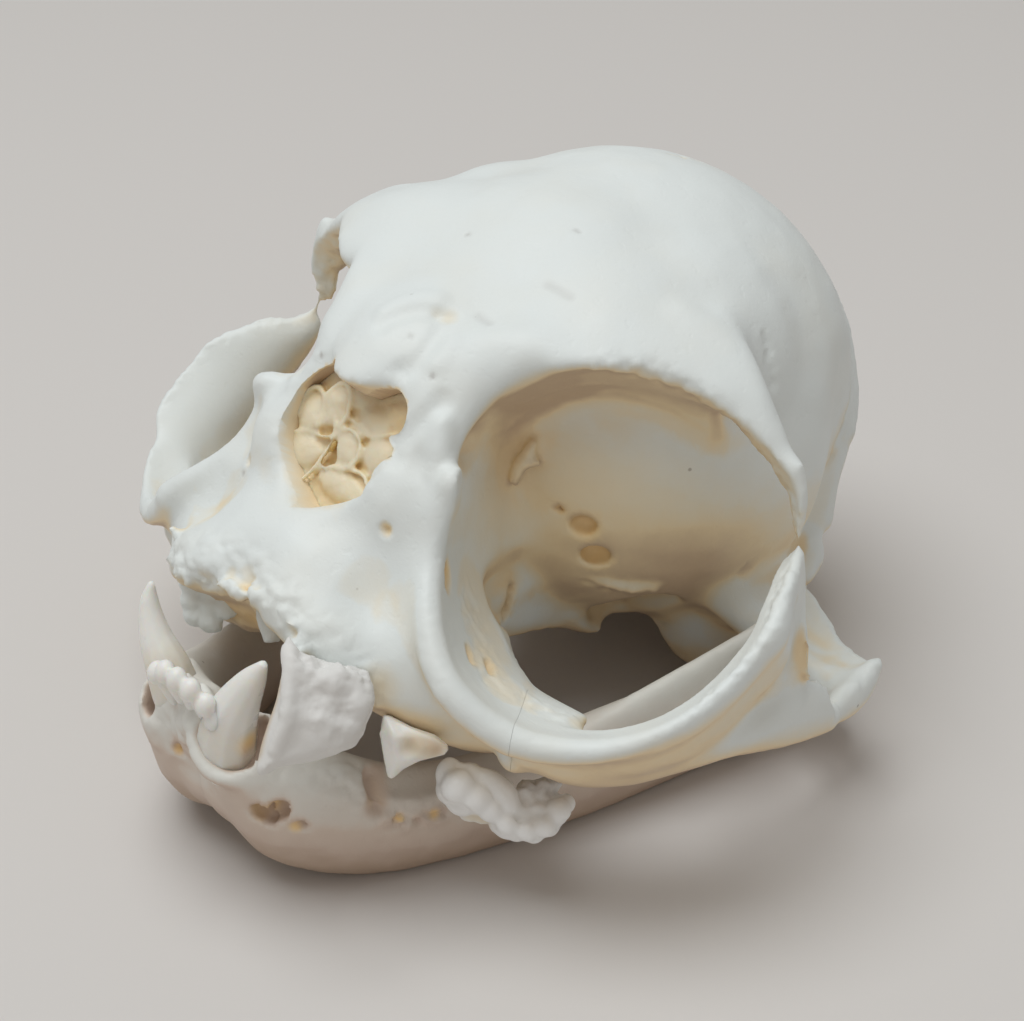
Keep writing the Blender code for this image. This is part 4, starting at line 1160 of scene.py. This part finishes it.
def jaw_drills():
    """Nerve openings at the front of the left jaw and a pit in the chin."""
    return (balls(((7.0, -6.5, 9.4), (0.7, 1.2, 1.0)), ((8.3, -5.8, 9.5), (0.7, 1.2, 1.0)),
                  ((7.6, -6.1, 8.4), (0.5, 1.0, 0.5)))
            + [rod([(9.2, -5.9, 7.9), (9.6, -4.2, 8.2)], (0.45, 0.4)),
               rod([(-2.1, -8.4, 10.7), (-2.0, -6.6, 11.0)], (0.4, 0.3))]
            + balls(((13.8, 1.6, 7.4), (0.4, 0.8, 0.35)), ((14.9, 4.4, 6.9), (0.35, 0.8, 0.4))))


def sculpt_jaw(clay):
    """Porous chin, broken rims of the sockets, nerve openings and muscle marks."""
    clay.crumble([(-5.0, -7.0, 15.4), (-3.2, -8.1, 15.0), (-1.4, -8.0, 14.6), (0.6, -8.1, 14.4)], 2.6, 0.3,
                 0.9, 81)
    clay.crumble([(-4.4, -7.5, 10.4), (-1.4, -7.4, 10.0), (1.4, -7.4, 9.4)], 2.8, 0.13, 0.9, 82)
    clay.crumble([(6.6, -6.2, 12.8), (9.7, -2.2, 13.2), (10.9, 0.8, 11.4)], 1.6, 0.2, 0.8, 83)
    clay.crumble([(10.7, -2.0, 12.0), (11.8, -1.0, 10.6), (12.2, -0.4, 9.4)], 2.0, 0.2, 0.55, 85)
    clay.crumble([(13.2, 0.9, 8.0), (13.8, 1.8, 7.2), (15.2, 4.6, 6.8)], 1.9, 0.4, 0.6, 86)
    clay.push([(11.6, 1.0, 10.9), (12.4, 0.6, 10.0), (13.0, 0.3, 8.8)], 1.2, -0.9)
    # painted amber glow and warm shade in the sunk groove
    clay.tint(AMBER_GLOW, [(11.8, 1.0, 10.6), (12.4, 0.6, 9.8), (12.8, 0.3, 9.2)], 1.0, 0.5)
    clay.tint(WARM_SHADE, [(11.2, 1.6, 10.6), (12.7, 0.2, 9.0)], 1.6, 0.5)
    clay.crumble([(8.4, -4.6, 12.2), (9.9, -2.6, 11.4), (10.8, -1.4, 10.8)], 2.2, 0.16, 0.8, 93)
    clay.crumble([(-4.6, -6.4, 12.6), (-1.6, -8.0, 12.2), (1.2, -8.4, 12.0)], 2.6, 0.22, 1.0, 94)
    clay.crumble([(6.6, -7.6, 10.2), (8.4, -6.2, 9.2)], 1.9, 0.12, 0.6, 87)
    for place, radius in (((7.2, -6.6, 9.3), 1.35), ((8.0, -6.0, 9.6), 1.2), ((9.3, -5.2, 7.9), 0.8),
                          ((-2.1, -7.6, 10.7), 0.7), ((13.8, 1.6, 7.4), 0.7), ((14.9, 4.4, 6.9), 0.7)):
        # painted amber glow of light through the openings
        clay.tint(AMBER_GLOW, [place], radius, 0.95)
    clay.crumble([(8, -5, 4), (14, 6, 3), (18, 20, 3)], 5.0, 0.08, 1.6, 84)
    for side in (1, -1):
        clay.push([(24.4, 31, 12), (23.6, 34, 8)], 2.6, -0.5, side)
        clay.crumble([(20.8, 33, 2.4), (21.4, 39, 2.4)], 2.6, 0.14, 0.9, 88, side)
        clay.crumble([(23.4, 42.8, 6)], 2.6, 0.08, 0.7, 89, side)


class CATSKULL_OT_lower(bpy.types.Operator):
    """Sculpt the two halves of the lower jaw"""
    bl_idname = "catskull.lower"
    bl_label = "Lower Jaw"

    def execute(self, context):
        settings = context.scene.cat_skull
        whole = lower_jaw()
        for drill in jaw_drills():
            cut(whole, drill)
        remesh(whole, grain_size(settings), rounds=2)
        clay = Clay(whole)
        sculpt_jaw(clay)
        clay.paint_hollow_shade(reach=12, floor=0.08, gain=1.6)
        # painted warm shade that grows towards the table
        shade = np.clip((SHADE_TOP - clay.places[:, 2]) / SHADE_DEPTH, 0, 1) * 0.5
        clay.tints[:, WARM_SHADE] = np.clip(clay.tints[:, WARM_SHADE] + shade, 0, 1)
        clay.write()
        thin_out(whole, JAW_FACES)
        room = Vector((30, 40, 30))         # half the size of the block round one half of the jaw
        halves = [part_of(whole, block((HAIRLINE / 2 + room.x, 20, 10), room, side)) for side in (1, -1)]
        hand_tints(clay, halves)
        for side, half in zip((1, -1), halves):
            # the lower jaw's surface carries painted warm shade and bounce light
            dress(half, "jaw_" + SIDE_NAME[side], "mandible_" + SIDE_NAME[side],
                  surface("jaw_bone_warm_shaded", settings))
        bpy.data.objects.remove(whole, do_unlink=True)
        return {"FINISHED"}


# ---- teeth -------------------------------------------------------------------------
def flat_stack(centre, levels, thick, crest):
    """Tooth skinned over levels seen by the viewer, each with its left and right edge and its height.

    thick is half its depth and crest the place of its ridge, both from the first level to the last.
    """
    corners, rise, crest_width = 24, 0.55, 0.9
    sizes = evenly(thick, len(levels))
    crests = evenly(crest, len(levels))
    rings = []
    for (left, right, up), size, top in zip(levels, sizes, crests):
        ring = []
        for k in range(corners):
            a = math.tau * k / corners
            across = (left + right) / 2 + (right - left) / 2 * math.cos(a)
            near = size * math.sin(a)
            if near > 0:
                near *= 1 + rise * math.exp(-((across - top) / crest_width) ** 2)
            ring.append(seen(centre, across, up, near))
        rings.append(ring)
    return loft(rings)


def tooth_clay(pieces, voxel, rounds=2):
    """Melt a tooth's forms into one clay."""
    return Clay(biggest_body(melt(pieces, voxel * (1), rounds)))


def lower_canine(side):
    """Curved fang of the lower jaw, with the neck of its root."""
    if side > 0:
        path = [(3.5, -6.5, 11.0), (3.3, -6.7, 13.4), (3.7, -6.6, 15.7), (4.7, -6.2, 18.3), (5.9, -5.6, 20.7),
                (7.0, -5.2, 22.6)]
        radii = [2.1, 2.5, 2.35, 1.8, 1.15, 0.35]
    else:
        path = [(-3.6, -5.6, 12.6), (-3.8, -6.0, 14.4), (-4.3, -6.3, 17.0), (-5.6, -6.2, 18.9),
                (-6.5, -5.9, 20.6), (-6.9, -5.6, 22.0), (-6.9, -5.2, 23.5)]
        radii = [1.9, 2.1, 1.9, 1.45, 1.05, 0.75, 0.25]
    clay = tooth_clay([rod(path, radii)], 0.2, 3)
    clay.push([path[2], path[4]], 1.2, 0.12)
    clay.crumble([path[0], path[2]], 3.0, 0.07, 0.9, 31)
    # painted warm shade on the root's neck and a painted amber glow beside it
    clay.tint(WARM_SHADE, [path[0], path[2]], 3.4, 0.55)
    clay.tint(AMBER_GLOW, [Vector(path[2]) + Vector((1.9 * side, 0.2, -0.6))], 1.6, 0.8)
    return clay


def incisor_beads():
    """Row of small worn incisors between the lower canines."""
    places = [(-2.1, -8.8, 18.9), (-0.7, -9.0, 19.8), (0.9, -9.1, 20.0), (2.3, -8.9, 19.6), (3.5, -8.5, 18.6),
              (3.9, -8.1, 17.2)]
    pieces = []
    for x, y, z in places:
        pieces.append(ball((x, y, z), (0.85, 0.8, 1.0), (-20, 0, 0)))
        pieces.append(rod([(x, y + 0.2, z - 0.4), (x * 0.9, y + 1.3, z - 3.4)], [0.62, 0.5]))
    return tooth_clay(pieces, 0.17, 2)


def displaced_tooth():
    """Displaced tooth that hangs in the empty sockets of the right upper jaw."""
    crown = [(-7.3, -1.1, 20.9), (-6.1, -0.2, 20.7), (-4.9, 0.6, 20.6), (-7.0, -1.5, 19.8),
             (-5.8, -0.7, 19.5), (-4.7, 0.1, 19.5), (-6.6, -1.6, 18.7), (-5.5, -1.0, 18.3)]
    pieces = [ball(p, (1.1, 1.0, 1.05), (20, 30, 0)) for p in crown]
    pieces.append(rod([(-6.2, -0.2, 21.4), (-6.6, 0.6, 23.0)], [1.2, 0.9]))
    clay = tooth_clay(pieces, 0.2, 2)
    clay.crumble([(-6.1, -0.6, 20), (-5.6, -0.9, 18.6)], 3.4, 0.2, 0.7, 91)
    return clay


def tooth_fragment():
    """Grey chip of a root beside the upper canine."""
    path = [(0.9, 0.1, 22.6), (1.2, -0.1, 21.6), (1.7, -0.3, 20.8), (2.2, -0.7, 19.9)]
    clay = tooth_clay([rod(path, [0.9, 1.05, 1.0, 0.6])], 0.2, 2)
    clay.crumble(path, 1.6, 0.18, 0.7, 92)
    clay.tint(STAIN, path, 1.6, 0.3)
    return clay


def slipped_canine():
    """Upper canine thick with tartar, slipped half out of its socket."""
    centre = (12.4, -3.4, 19.8)
    levels = [(-3.3, -3.1, 5.8), (-3.4, -2.7, 4.9), (-3.5, -2.0, 4.5), (-3.5, -0.1, 3.8), (-3.7, 2.6, 3.2),
              (-3.9, 3.2, 2.2), (-4.1, 3.3, 1.1), (-4.4, 3.1, 0.2), (-4.7, 2.6, -0.6), (-5.0, 2.4, -1.5),
              (-5.3, 1.9, -2.5), (-5.5, -0.9, -3.5), (-5.6, -3.8, -4.0), (-5.5, -4.9, -4.6)]
    body = flat_stack(centre, levels, thick=[0.25, 1.3, 2.0, 2.3, 2.3, 2.0, 1.3, 0.5],
                      crest=[-3.2, -3.0, -2.8, -2.9, -3.2, -3.9, -4.6, -5.1])
    clay = tooth_clay([body], 0.2, 2)
    clay.crumble(drawn(centre, (-2.6, 3.6, 1.6), (2.4, 2.4, 1.2)), 1.8, 0.16, 0.9, 5)
    clay.crumble(drawn(centre, (-1.0, 1.5, 2), (1.4, -0.6, 2)), 3.6, 0.26, 1.7, 9)
    clay.push(drawn(centre, (2.4, 0.9, 1.2), (2.0, -0.6, 1.2)), 1.8, 0.4)
    clay.push(drawn(centre, (0.2, 2.6, 2.2)), 1.8, 0.3)
    clay.relax(drawn(centre, (-1.0, 1.5, 2), (1.4, -0.6, 2)), 4.6, 1)
    clay.crumble(drawn(centre, (-2.0, 2.5, 1.6), (0.6, 0.6, 2.0), (1.2, -1.6, 1.6)), 4.0, 0.13, 0.75, 11)
    clay.crumble(drawn(centre, (-2.8, 4.6, 1.2), (-1.2, 4.0, 1.4), (2.6, 3.0, 0.8)), 1.5, 0.34, 0.6, 13)
    clay.push(drawn(centre, (-3.1, 5.0, 0.8), (-2.9, 3.4, 1.8), (-3.2, 0.4, 2.2)), 1.0, 0.35)
    clay.push(drawn(centre, (-3.1, 4.6, 1.2), (-2.9, 0.6, 2.4), (-4.0, -2.6, 1.6)), 0.8, 0.3)
    clay.push(drawn(centre, (0.9, 0.6, 2.4)), 1.6, -0.25)
    clay.tint(STAIN, drawn(centre, (0.2, 1.9, 2.2), (1.4, -0.8, 2.2)), 2.8, 0.1)
    # painted warm shade along the left edge
    clay.tint(WARM_SHADE, drawn(centre, (-4.0, 2.0, 0), (-4.6, 0.0, 0), (-5.3, -2.6, 0)), 1.6, 0.75)
    return clay


def spur_premolar(side):
    """Small upper premolar, thin enough for light to pass."""
    if side < 0:
        return tooth_clay(balls(((-13.6, 3.4, 16.6), (1.2, 1.3, 1.6)), ((-13.6, 4.0, 17.6), (1.4, 1.4, 1.4))),
                          0.25)
    centre = (15.1, 1.5, 15.8)
    levels = [(-1.7, -1.2, 2.1), (-1.9, 0.5, 1.2), (-1.8, 2.3, 0.6), (-1.6, 3.3, -0.2), (-1.5, 3.1, -0.9),
              (-1.5, 1.1, -1.4), (-1.4, -0.1, -2.0), (-1.25, -0.9, -2.7)]
    body = flat_stack(centre, levels, thick=[0.5, 1.0, 1.3, 1.3, 1.1, 0.9, 0.7, 0.35],
                      crest=[-1.5, -1.2, -1.0, -1.0, -1.1, -1.3, -1.3, -1.2])
    edge = [rod(drawn(centre, (-1.6, 1.8, 0.6), (0.4, 0.9, 0.9), (2.2, 0.2, 0.8), (3.2, -0.6, 0.4)),
                [0.28, 0.3, 0.3, 0.25]),
            rod(drawn(centre, (-1.7, 1.0, 0.7), (-1.4, -0.8, 0.8), (-1.2, -2.5, 0.2)), [0.3, 0.3, 0.2])]
    clay = tooth_clay([body] + edge, 0.17, 1)
    clay.push(drawn(centre, (0.2, -0.2, 1.2)), 1.2, -0.3)
    # painted warm shade in the dip and beside it
    clay.tint(WARM_SHADE, drawn(centre, (0.6, 0.0, 0.9), (2.2, -0.4, 0.8)), 1.5, 0.6)
    return clay


def shearing_tooth():
    """Left upper carnassial with the small molar behind it, under a crust of tartar."""
    centre = (19.4, 6.9, 10.4)
    lumps = [(-3.7, 1.4, 0.2, 0.8, 1.3), (-3.5, 0.2, 0.3, 1.1, 1.2), (-2.4, 0.5, 0.5, 1.2, 1.35),
             (-3.1, -0.7, 0.1, 0.9, 0.8), (-1.5, 0.9, 0.2, 0.9, 0.9), (-2.1, -1.6, -0.7, 0.9, 0.8),
             (-1.1, -1.9, -0.8, 0.8, 0.7), (0.3, -2.5, 0.0, 0.85, 0.8), (1.6, -3.0, 0.1, 0.95, 0.85),
             (2.9, -3.2, 0.0, 0.9, 0.8), (4.0, -2.6, 0.1, 0.95, 0.9), (4.6, -1.7, 0.0, 1.0, 0.95),
             (5.4, -1.0, -0.2, 0.75, 0.75), (2.4, -2.1, 0.2, 1.2, 0.9), (3.3, -1.7, 0.1, 1.1, 0.9),
             (2.5, -0.5, -0.8, 1.2, 1.1), (3.6, -0.2, -0.9, 1.1, 1.0), (4.4, 0.5, -1.1, 0.8, 0.8),
             (-2.6, -0.6, 0.3, 1.3, 1.2), (-1.2, -0.6, 0.0, 1.3, 1.2), (-0.2, -1.2, -0.2, 1.3, 1.1),
             (1.2, -1.6, 0.0, 1.3, 1.2), (-2.0, 1.2, 0.4, 1.2, 0.9), (0.9, -2.6, 0.2, 1.2, 1.0),
             (2.6, -2.6, 0.3, 1.2, 1.0), (-2.9, 0.5, 1.4, 1.3, 1.3), (-1.6, -0.3, 1.3, 1.3, 1.1),
             (-0.4, -1.3, 1.1, 1.0, 0.9), (0.9, -2.4, 1.1, 0.9, 0.8), (2.4, -2.9, 1.0, 0.9, 0.8),
             (3.8, -2.6, 0.9, 0.9, 0.8), (4.9, -1.4, 0.6, 0.9, 0.9)]
    pieces = [moved(ball((0, 0, 0), (wide * 1.1, (wide + high) * 0.55, high * 1.1)), seen(centre, *spot))
              for *spot, wide, high in lumps]
    pieces.append(rod(drawn(centre, (-3.9, 2.2, 0.2), (-1.8, 1.3, 0.5), (-0.3, 0.7, 0.7), (0.8, -0.4, 0.7),
                            (1.1, -2.0, 0.5)), [0.35, 0.8, 1.05, 1.1, 1.0]))
    clay = tooth_clay(pieces, 0.2, 3)
    clay.crumble(drawn(centre, (-3, 1, 1), (0, -0.6, 1), (3, -2.4, 1)), 2.6, 0.09, 1.1, 12)
    clay.crumble(drawn(centre, (2.4, 0.2, -0.2), (4.4, 0.4, -0.4)), 1.7, 0.42, 0.7, 15, bias=-0.3)
    clay.push(drawn(centre, (-3.6, -0.9, 1.6), (-2.2, -1.2, 1.8)), 0.8, -0.2)
    clay.push(drawn(centre, (0.4, -0.9, 1.0), (1.6, -1.9, 1.2), (3.2, -1.6, 1.0)), 0.7, -0.35)
    clay.tint(STAIN, drawn(centre, (2.6, 0.2, -0.2), (4.0, 0.2, -0.3)), 1.5, 0.4)
    # painted warm shade in two places on the crust
    clay.tint(WARM_SHADE, drawn(centre, (-2.0, -1.8, 0), (-1.0, -2.2, 0)), 1.2, 0.5)
    clay.tint(WARM_SHADE, drawn(centre, (-1.0, 1.9, 0), (1.6, 0.9, -0.2)), 0.9, 0.7)
    return clay


def far_shearing_tooth():
    """Crusted teeth of the right upper jaw."""
    places = [(-17.8, 8.2, 11.4, 1.9, 2.4), (-18.6, 9.8, 10.4, 1.7, 2.0), (-17.2, 6.6, 12.6, 1.6, 2.0),
              (-19.4, 11.2, 10.6, 1.3, 1.6), (-16.8, 5.4, 13.8, 1.3, 1.4)]
    pieces = [ball((x, y, z), (wide, wide, high)) for x, y, z, wide, high in places]
    clay = tooth_clay(pieces, 0.25, 2)
    clay.crumble([(-17, 6, 13), (-19, 11, 10.5)], 3.4, 0.3, 1.0, 21)
    return clay


class CATSKULL_OT_teeth(bpy.types.Operator):
    """Shape the teeth and the tartar on them"""
    bl_idname = "catskull.teeth"
    bl_label = "Teeth"

    def execute(self, context):
        settings = context.scene.cat_skull
        for side in (1, -1):
            for make, name, node in ((lower_canine, "fang_lower_", "canine_lower_"),
                                     (spur_premolar, "spur_premolar_", "premolar_upper_")):
                dress(make(side).finish(), name + SIDE_NAME[side], node + SIDE_NAME[side],
                      surface("old_enamel", settings))
        for make, name, node, finish in (
                (incisor_beads, "incisor_row", None, "old_enamel"),
                (displaced_tooth, "displaced_tooth", None, "bleached_bone"),
                (tooth_fragment, "tooth_fragment", None, "bleached_bone"),
                (slipped_canine, "slipped_canine", "canine_upper_left", "chalky_tartar"),
                (shearing_tooth, "shearing_tooth_left", "carnassial_upper_left", "white_crust"),
                (far_shearing_tooth, "shearing_tooth_right", "carnassial_upper_right", "bleached_bone")):
            dress(make().finish(), name, node, surface(finish, settings))
        return {"FINISHED"}


# ---- nose scrolls ------------------------------------------------------------------
def scroll_line(points, depth, radius):
    """Edge of a scroll: a thin rod along points given on the nose's slope."""
    return rod([nose_place(x, z, depth) for x, z in points], [radius] * len(points), steps=4)


def scroll_lobe(x, z, depth, wide, high, deep):
    """Rounded face of a scroll, seen through the nasal opening."""
    return moved(ball((0, 0, 0), (wide, deep, high), (-32, 0, 0)), nose_place(x, z, depth))


def nose_scrolls():
    """Thin curled bones that fill the nose, on both sides of the septum."""
    pieces = [loft([nose_ring(NOSE_EDGE, 1.7, 1.02), nose_ring(NOSE_EDGE, 7.5, 0.9)])]
    pieces += [scroll_lobe(*row) for row in (
        (-4.6, 34.0, 1.9, 1.9, 2.0, 0.9), (-2.5, 35.2, 1.9, 1.6, 2.0, 1.0),
        (-0.9, 36.4, 2.1, 1.5, 1.2, 0.8), (-4.3, 31.6, 1.9, 2.1, 1.5, 0.9), (0.2, 33.0, 1.9, 1.6, 1.5, 1.0),
        (1.0, 30.6, 1.9, 3.1, 1.4, 0.9), (1.6, 35.4, 2.1, 2.2, 1.7, 0.7), (3.4, 36.5, 2.2, 1.9, 1.4, 0.7),
        (3.3, 33.5, 2.0, 1.8, 1.6, 0.8))]
    pieces += [scroll_line(*row) for row in (
        ([(-2.3, 35.4), (-1.7, 34.2), (-1.4, 33.2), (-1.5, 32.2), (-2.0, 31.0), (-2.8, 29.8)], 1.15, 0.22),
        ([(-6.2, 32.2), (-4.4, 32.8), (-2.6, 33.1), (-1.6, 33.4)], 1.3, 0.2),
        ([(-6.2, 33.4), (-6.1, 34.9), (-5.2, 35.8), (-4.1, 35.6), (-3.6, 34.6), (-3.4, 33.4)], 1.2, 0.22),
        ([(-3.5, 34.4), (-3.6, 35.8), (-2.6, 36.9), (-1.4, 36.5), (-0.9, 35.2), (-1.2, 34.0)], 1.15, 0.22),
        ([(-1.4, 33.4), (-0.3, 34.3), (1.1, 34.1), (1.8, 33.0), (1.2, 31.9), (-0.2, 31.6)], 1.2, 0.22),
        ([(-0.8, 34.9), (0.6, 34.8), (1.8, 34.5), (3.0, 34.9), (4.2, 35.4)], 1.5, 0.2),
        ([(-2.0, 31.0), (-0.6, 31.5), (1.0, 31.9), (2.8, 32.1), (4.0, 31.4)], 1.25, 0.22))]
    clay = tooth_clay(pieces, 0.18, 3)
    slit = on_nose((-1.2, 33.0, 1.4), (-0.9, 32.2, 1.4), (-1.2, 31.6, 1.4))
    clay.push(slit, 0.6, -0.7)
    # painted amber glow of light through the thin scrolls, here and below
    clay.tint(AMBER_GLOW, slit, 0.6, 0.9)
    clay.push(on_nose((-3.6, 33.0, 1.4), (-2.4, 33.5, 1.4)), 0.6, -0.3)
    clay.tint(AMBER_GLOW, on_nose((1.6, 36.6, 1.8), (4.4, 36.6, 1.8), (4.4, 35.6, 1.8)), 2.2, 0.5)
    clay.tint(AMBER_GLOW, on_nose((-1.6, 29.8, 1.6), (2.0, 29.6, 1.6)), 1.5, 0.45)
    clay.tint(AMBER_GLOW, on_nose((-5.4, 31.4, 1.6), (-5.8, 34.0, 1.6), (-4.6, 36.2, 1.6)), 1.2, 0.35)
    clay.crumble(on_nose((-1.5, 30, 2), (-1, 36, 2)), 8.0, 0.12, 1.1, 41)
    return clay


class CATSKULL_OT_nose(bpy.types.Operator):
    """Shape the scrolls of thin bone inside the nose"""
    bl_idname = "catskull.nose"
    bl_label = "Nose Scrolls"

    def execute(self, context):
        clay = nose_scrolls()
        # painted warm shade deep among the scrolls
        closed = clay.spread(clay.closed_sky(2.2), 1)
        clay.tints[:, WARM_SHADE] = np.clip((closed - 0.05) * 1.5, 0, 1)
        dress(clay.finish(), "nose_scrolls", "turbinates",
              surface("thin_scroll_bone", context.scene.cat_skull))
        return {"FINISHED"}


class CATSKULL_OT_stage(bpy.types.Operator):
    """Lay the table, hang the soft lights and set the camera"""
    bl_idname = "catskull.stage"
    bl_label = "Stage"

    def execute(self, context):
        settings = context.scene.cat_skull
        deselect()
        bpy.ops.mesh.primitive_plane_add(size=6, location=(0, 0, 0))
        floor = context.object
        floor.name = "table"
        floor.data.materials.append(floor_material(tuple(settings.table)))
        world = bpy.data.worlds.new("soft_room")
        context.scene.world = world
        world.use_nodes = True
        back = world.node_tree.nodes["Background"]
        back.inputs["Color"].default_value = (1.0, 0.965, 0.92, 1)
        back.inputs["Strength"].default_value = settings.room_light
        for name, place, size, power, colour in (
                ("top_light", (-0.08, -0.10, 0.62), 0.5, settings.key_light, (0.96, 0.99, 1.0)),
                ("low_warm_light", (0.45, -0.60, 0.10), 0.45, settings.fill_light, (1.0, 0.74, 0.50))):
            lamp = bpy.data.lights.new(name, "AREA")
            lamp.shape = "DISK"
            lamp.color = colour
            lamp.size = size
            lamp.energy = power
            item = add_object(name, lamp)
            item.location = place
            item.rotation_euler = (LIT_SPOT - Vector(place)).to_track_quat("-Z", "Y").to_euler()
        context.scene.view_settings.view_transform = "Standard"
        camera = add_object("camera", bpy.data.cameras.new("camera"))
        camera.data.lens = VIEW_LENS
        camera.data.sensor_width = 36
        camera.data.clip_start = 0.005
        facing = Matrix((ACROSS, UPWARD, TOWARD)).transposed().to_4x4()
        camera.matrix_world = Matrix.Translation(at(VIEW_POINT)) @ facing
        context.scene.camera = camera
        return {"FINISHED"}


class CatSkullSettings(bpy.types.PropertyGroup):
    """Sizes and colours that a user may change"""
    grain_fine: bpy.props.FloatProperty(name="Fine Grain", description="Voxel of the finished bone",
                                        default=0.0003, subtype="DISTANCE", unit="LENGTH")
    grain_coarse: bpy.props.FloatProperty(name="Quick Grain", description="Voxel while trying things",
                                          default=0.0006, subtype="DISTANCE", unit="LENGTH")
    white: bpy.props.FloatVectorProperty(name="Bone", description="Bleached outer bone", subtype="COLOR",
                                         size=3, default=(0.80, 0.845, 0.84))
    # cream: the bone's faint clouds, and painted shade in shallow hollows
    cream: bpy.props.FloatVectorProperty(name="Shaded Bone", description="Bone in shallow hollows",
                                         subtype="COLOR", size=3, default=(0.82, 0.76, 0.62))
    # tan: painted warm shade deep in the hollows
    tan: bpy.props.FloatVectorProperty(name="Deep Bone", description="Bone deep in the hollows",
                                       subtype="COLOR", size=3, default=(0.86, 0.70, 0.46))
    # brown: painted warm bounce light and shade on what faces the table
    brown: bpy.props.FloatVectorProperty(name="Underside", description="Bone that faces the table",
                                         subtype="COLOR", size=3, default=(0.60, 0.45, 0.31))
    # amber: painted glow of light that comes through thin bone
    amber: bpy.props.FloatVectorProperty(name="Thin Bone", description="Thin bone that lets light through",
                                         subtype="COLOR", size=3, default=(0.98, 0.68, 0.27))
    table: bpy.props.FloatVectorProperty(name="Table", description="Pale table", subtype="COLOR", size=3,
                                         default=(0.69, 0.665, 0.645))
    key_light: bpy.props.FloatProperty(name="Key Light", description="Power of the overhead light",
                                       default=2.45, unit="POWER")
    fill_light: bpy.props.FloatProperty(name="Fill Light", description="Power of the low warm light",
                                        default=0.22, unit="POWER")
    room_light: bpy.props.FloatProperty(name="Room Light", description="Strength of the room's soft light",
                                        default=0.33)


class CATSKULL_PT_panel(bpy.types.Panel):
    """Buttons that make the skull"""
    bl_label = "Cat Skull"
    bl_idname = "CATSKULL_PT_panel"
    bl_space_type = "VIEW_3D"
    bl_region_type = "UI"
    bl_category = "Cat Skull"

    def draw(self, context):
        for operator in OPERATORS:
            self.layout.operator(operator.bl_idname)


OPERATORS = (CATSKULL_OT_upper, CATSKULL_OT_lower, CATSKULL_OT_teeth, CATSKULL_OT_nose, CATSKULL_OT_stage)
CLASSES = (CatSkullSettings,) + OPERATORS + (CATSKULL_PT_panel,)


def register():
    for cls in CLASSES:
        bpy.utils.register_class(cls)
    bpy.types.Scene.cat_skull = bpy.props.PointerProperty(type=CatSkullSettings)


def unregister():
    del bpy.types.Scene.cat_skull
    for cls in reversed(CLASSES):
        bpy.utils.unregister_class(cls)


def main():
    register()
    bpy.ops.catskull.upper()
    bpy.ops.catskull.lower()
    bpy.ops.catskull.teeth()
    bpy.ops.catskull.nose()
    bpy.ops.catskull.stage()


if __name__ == "__main__":
    main()
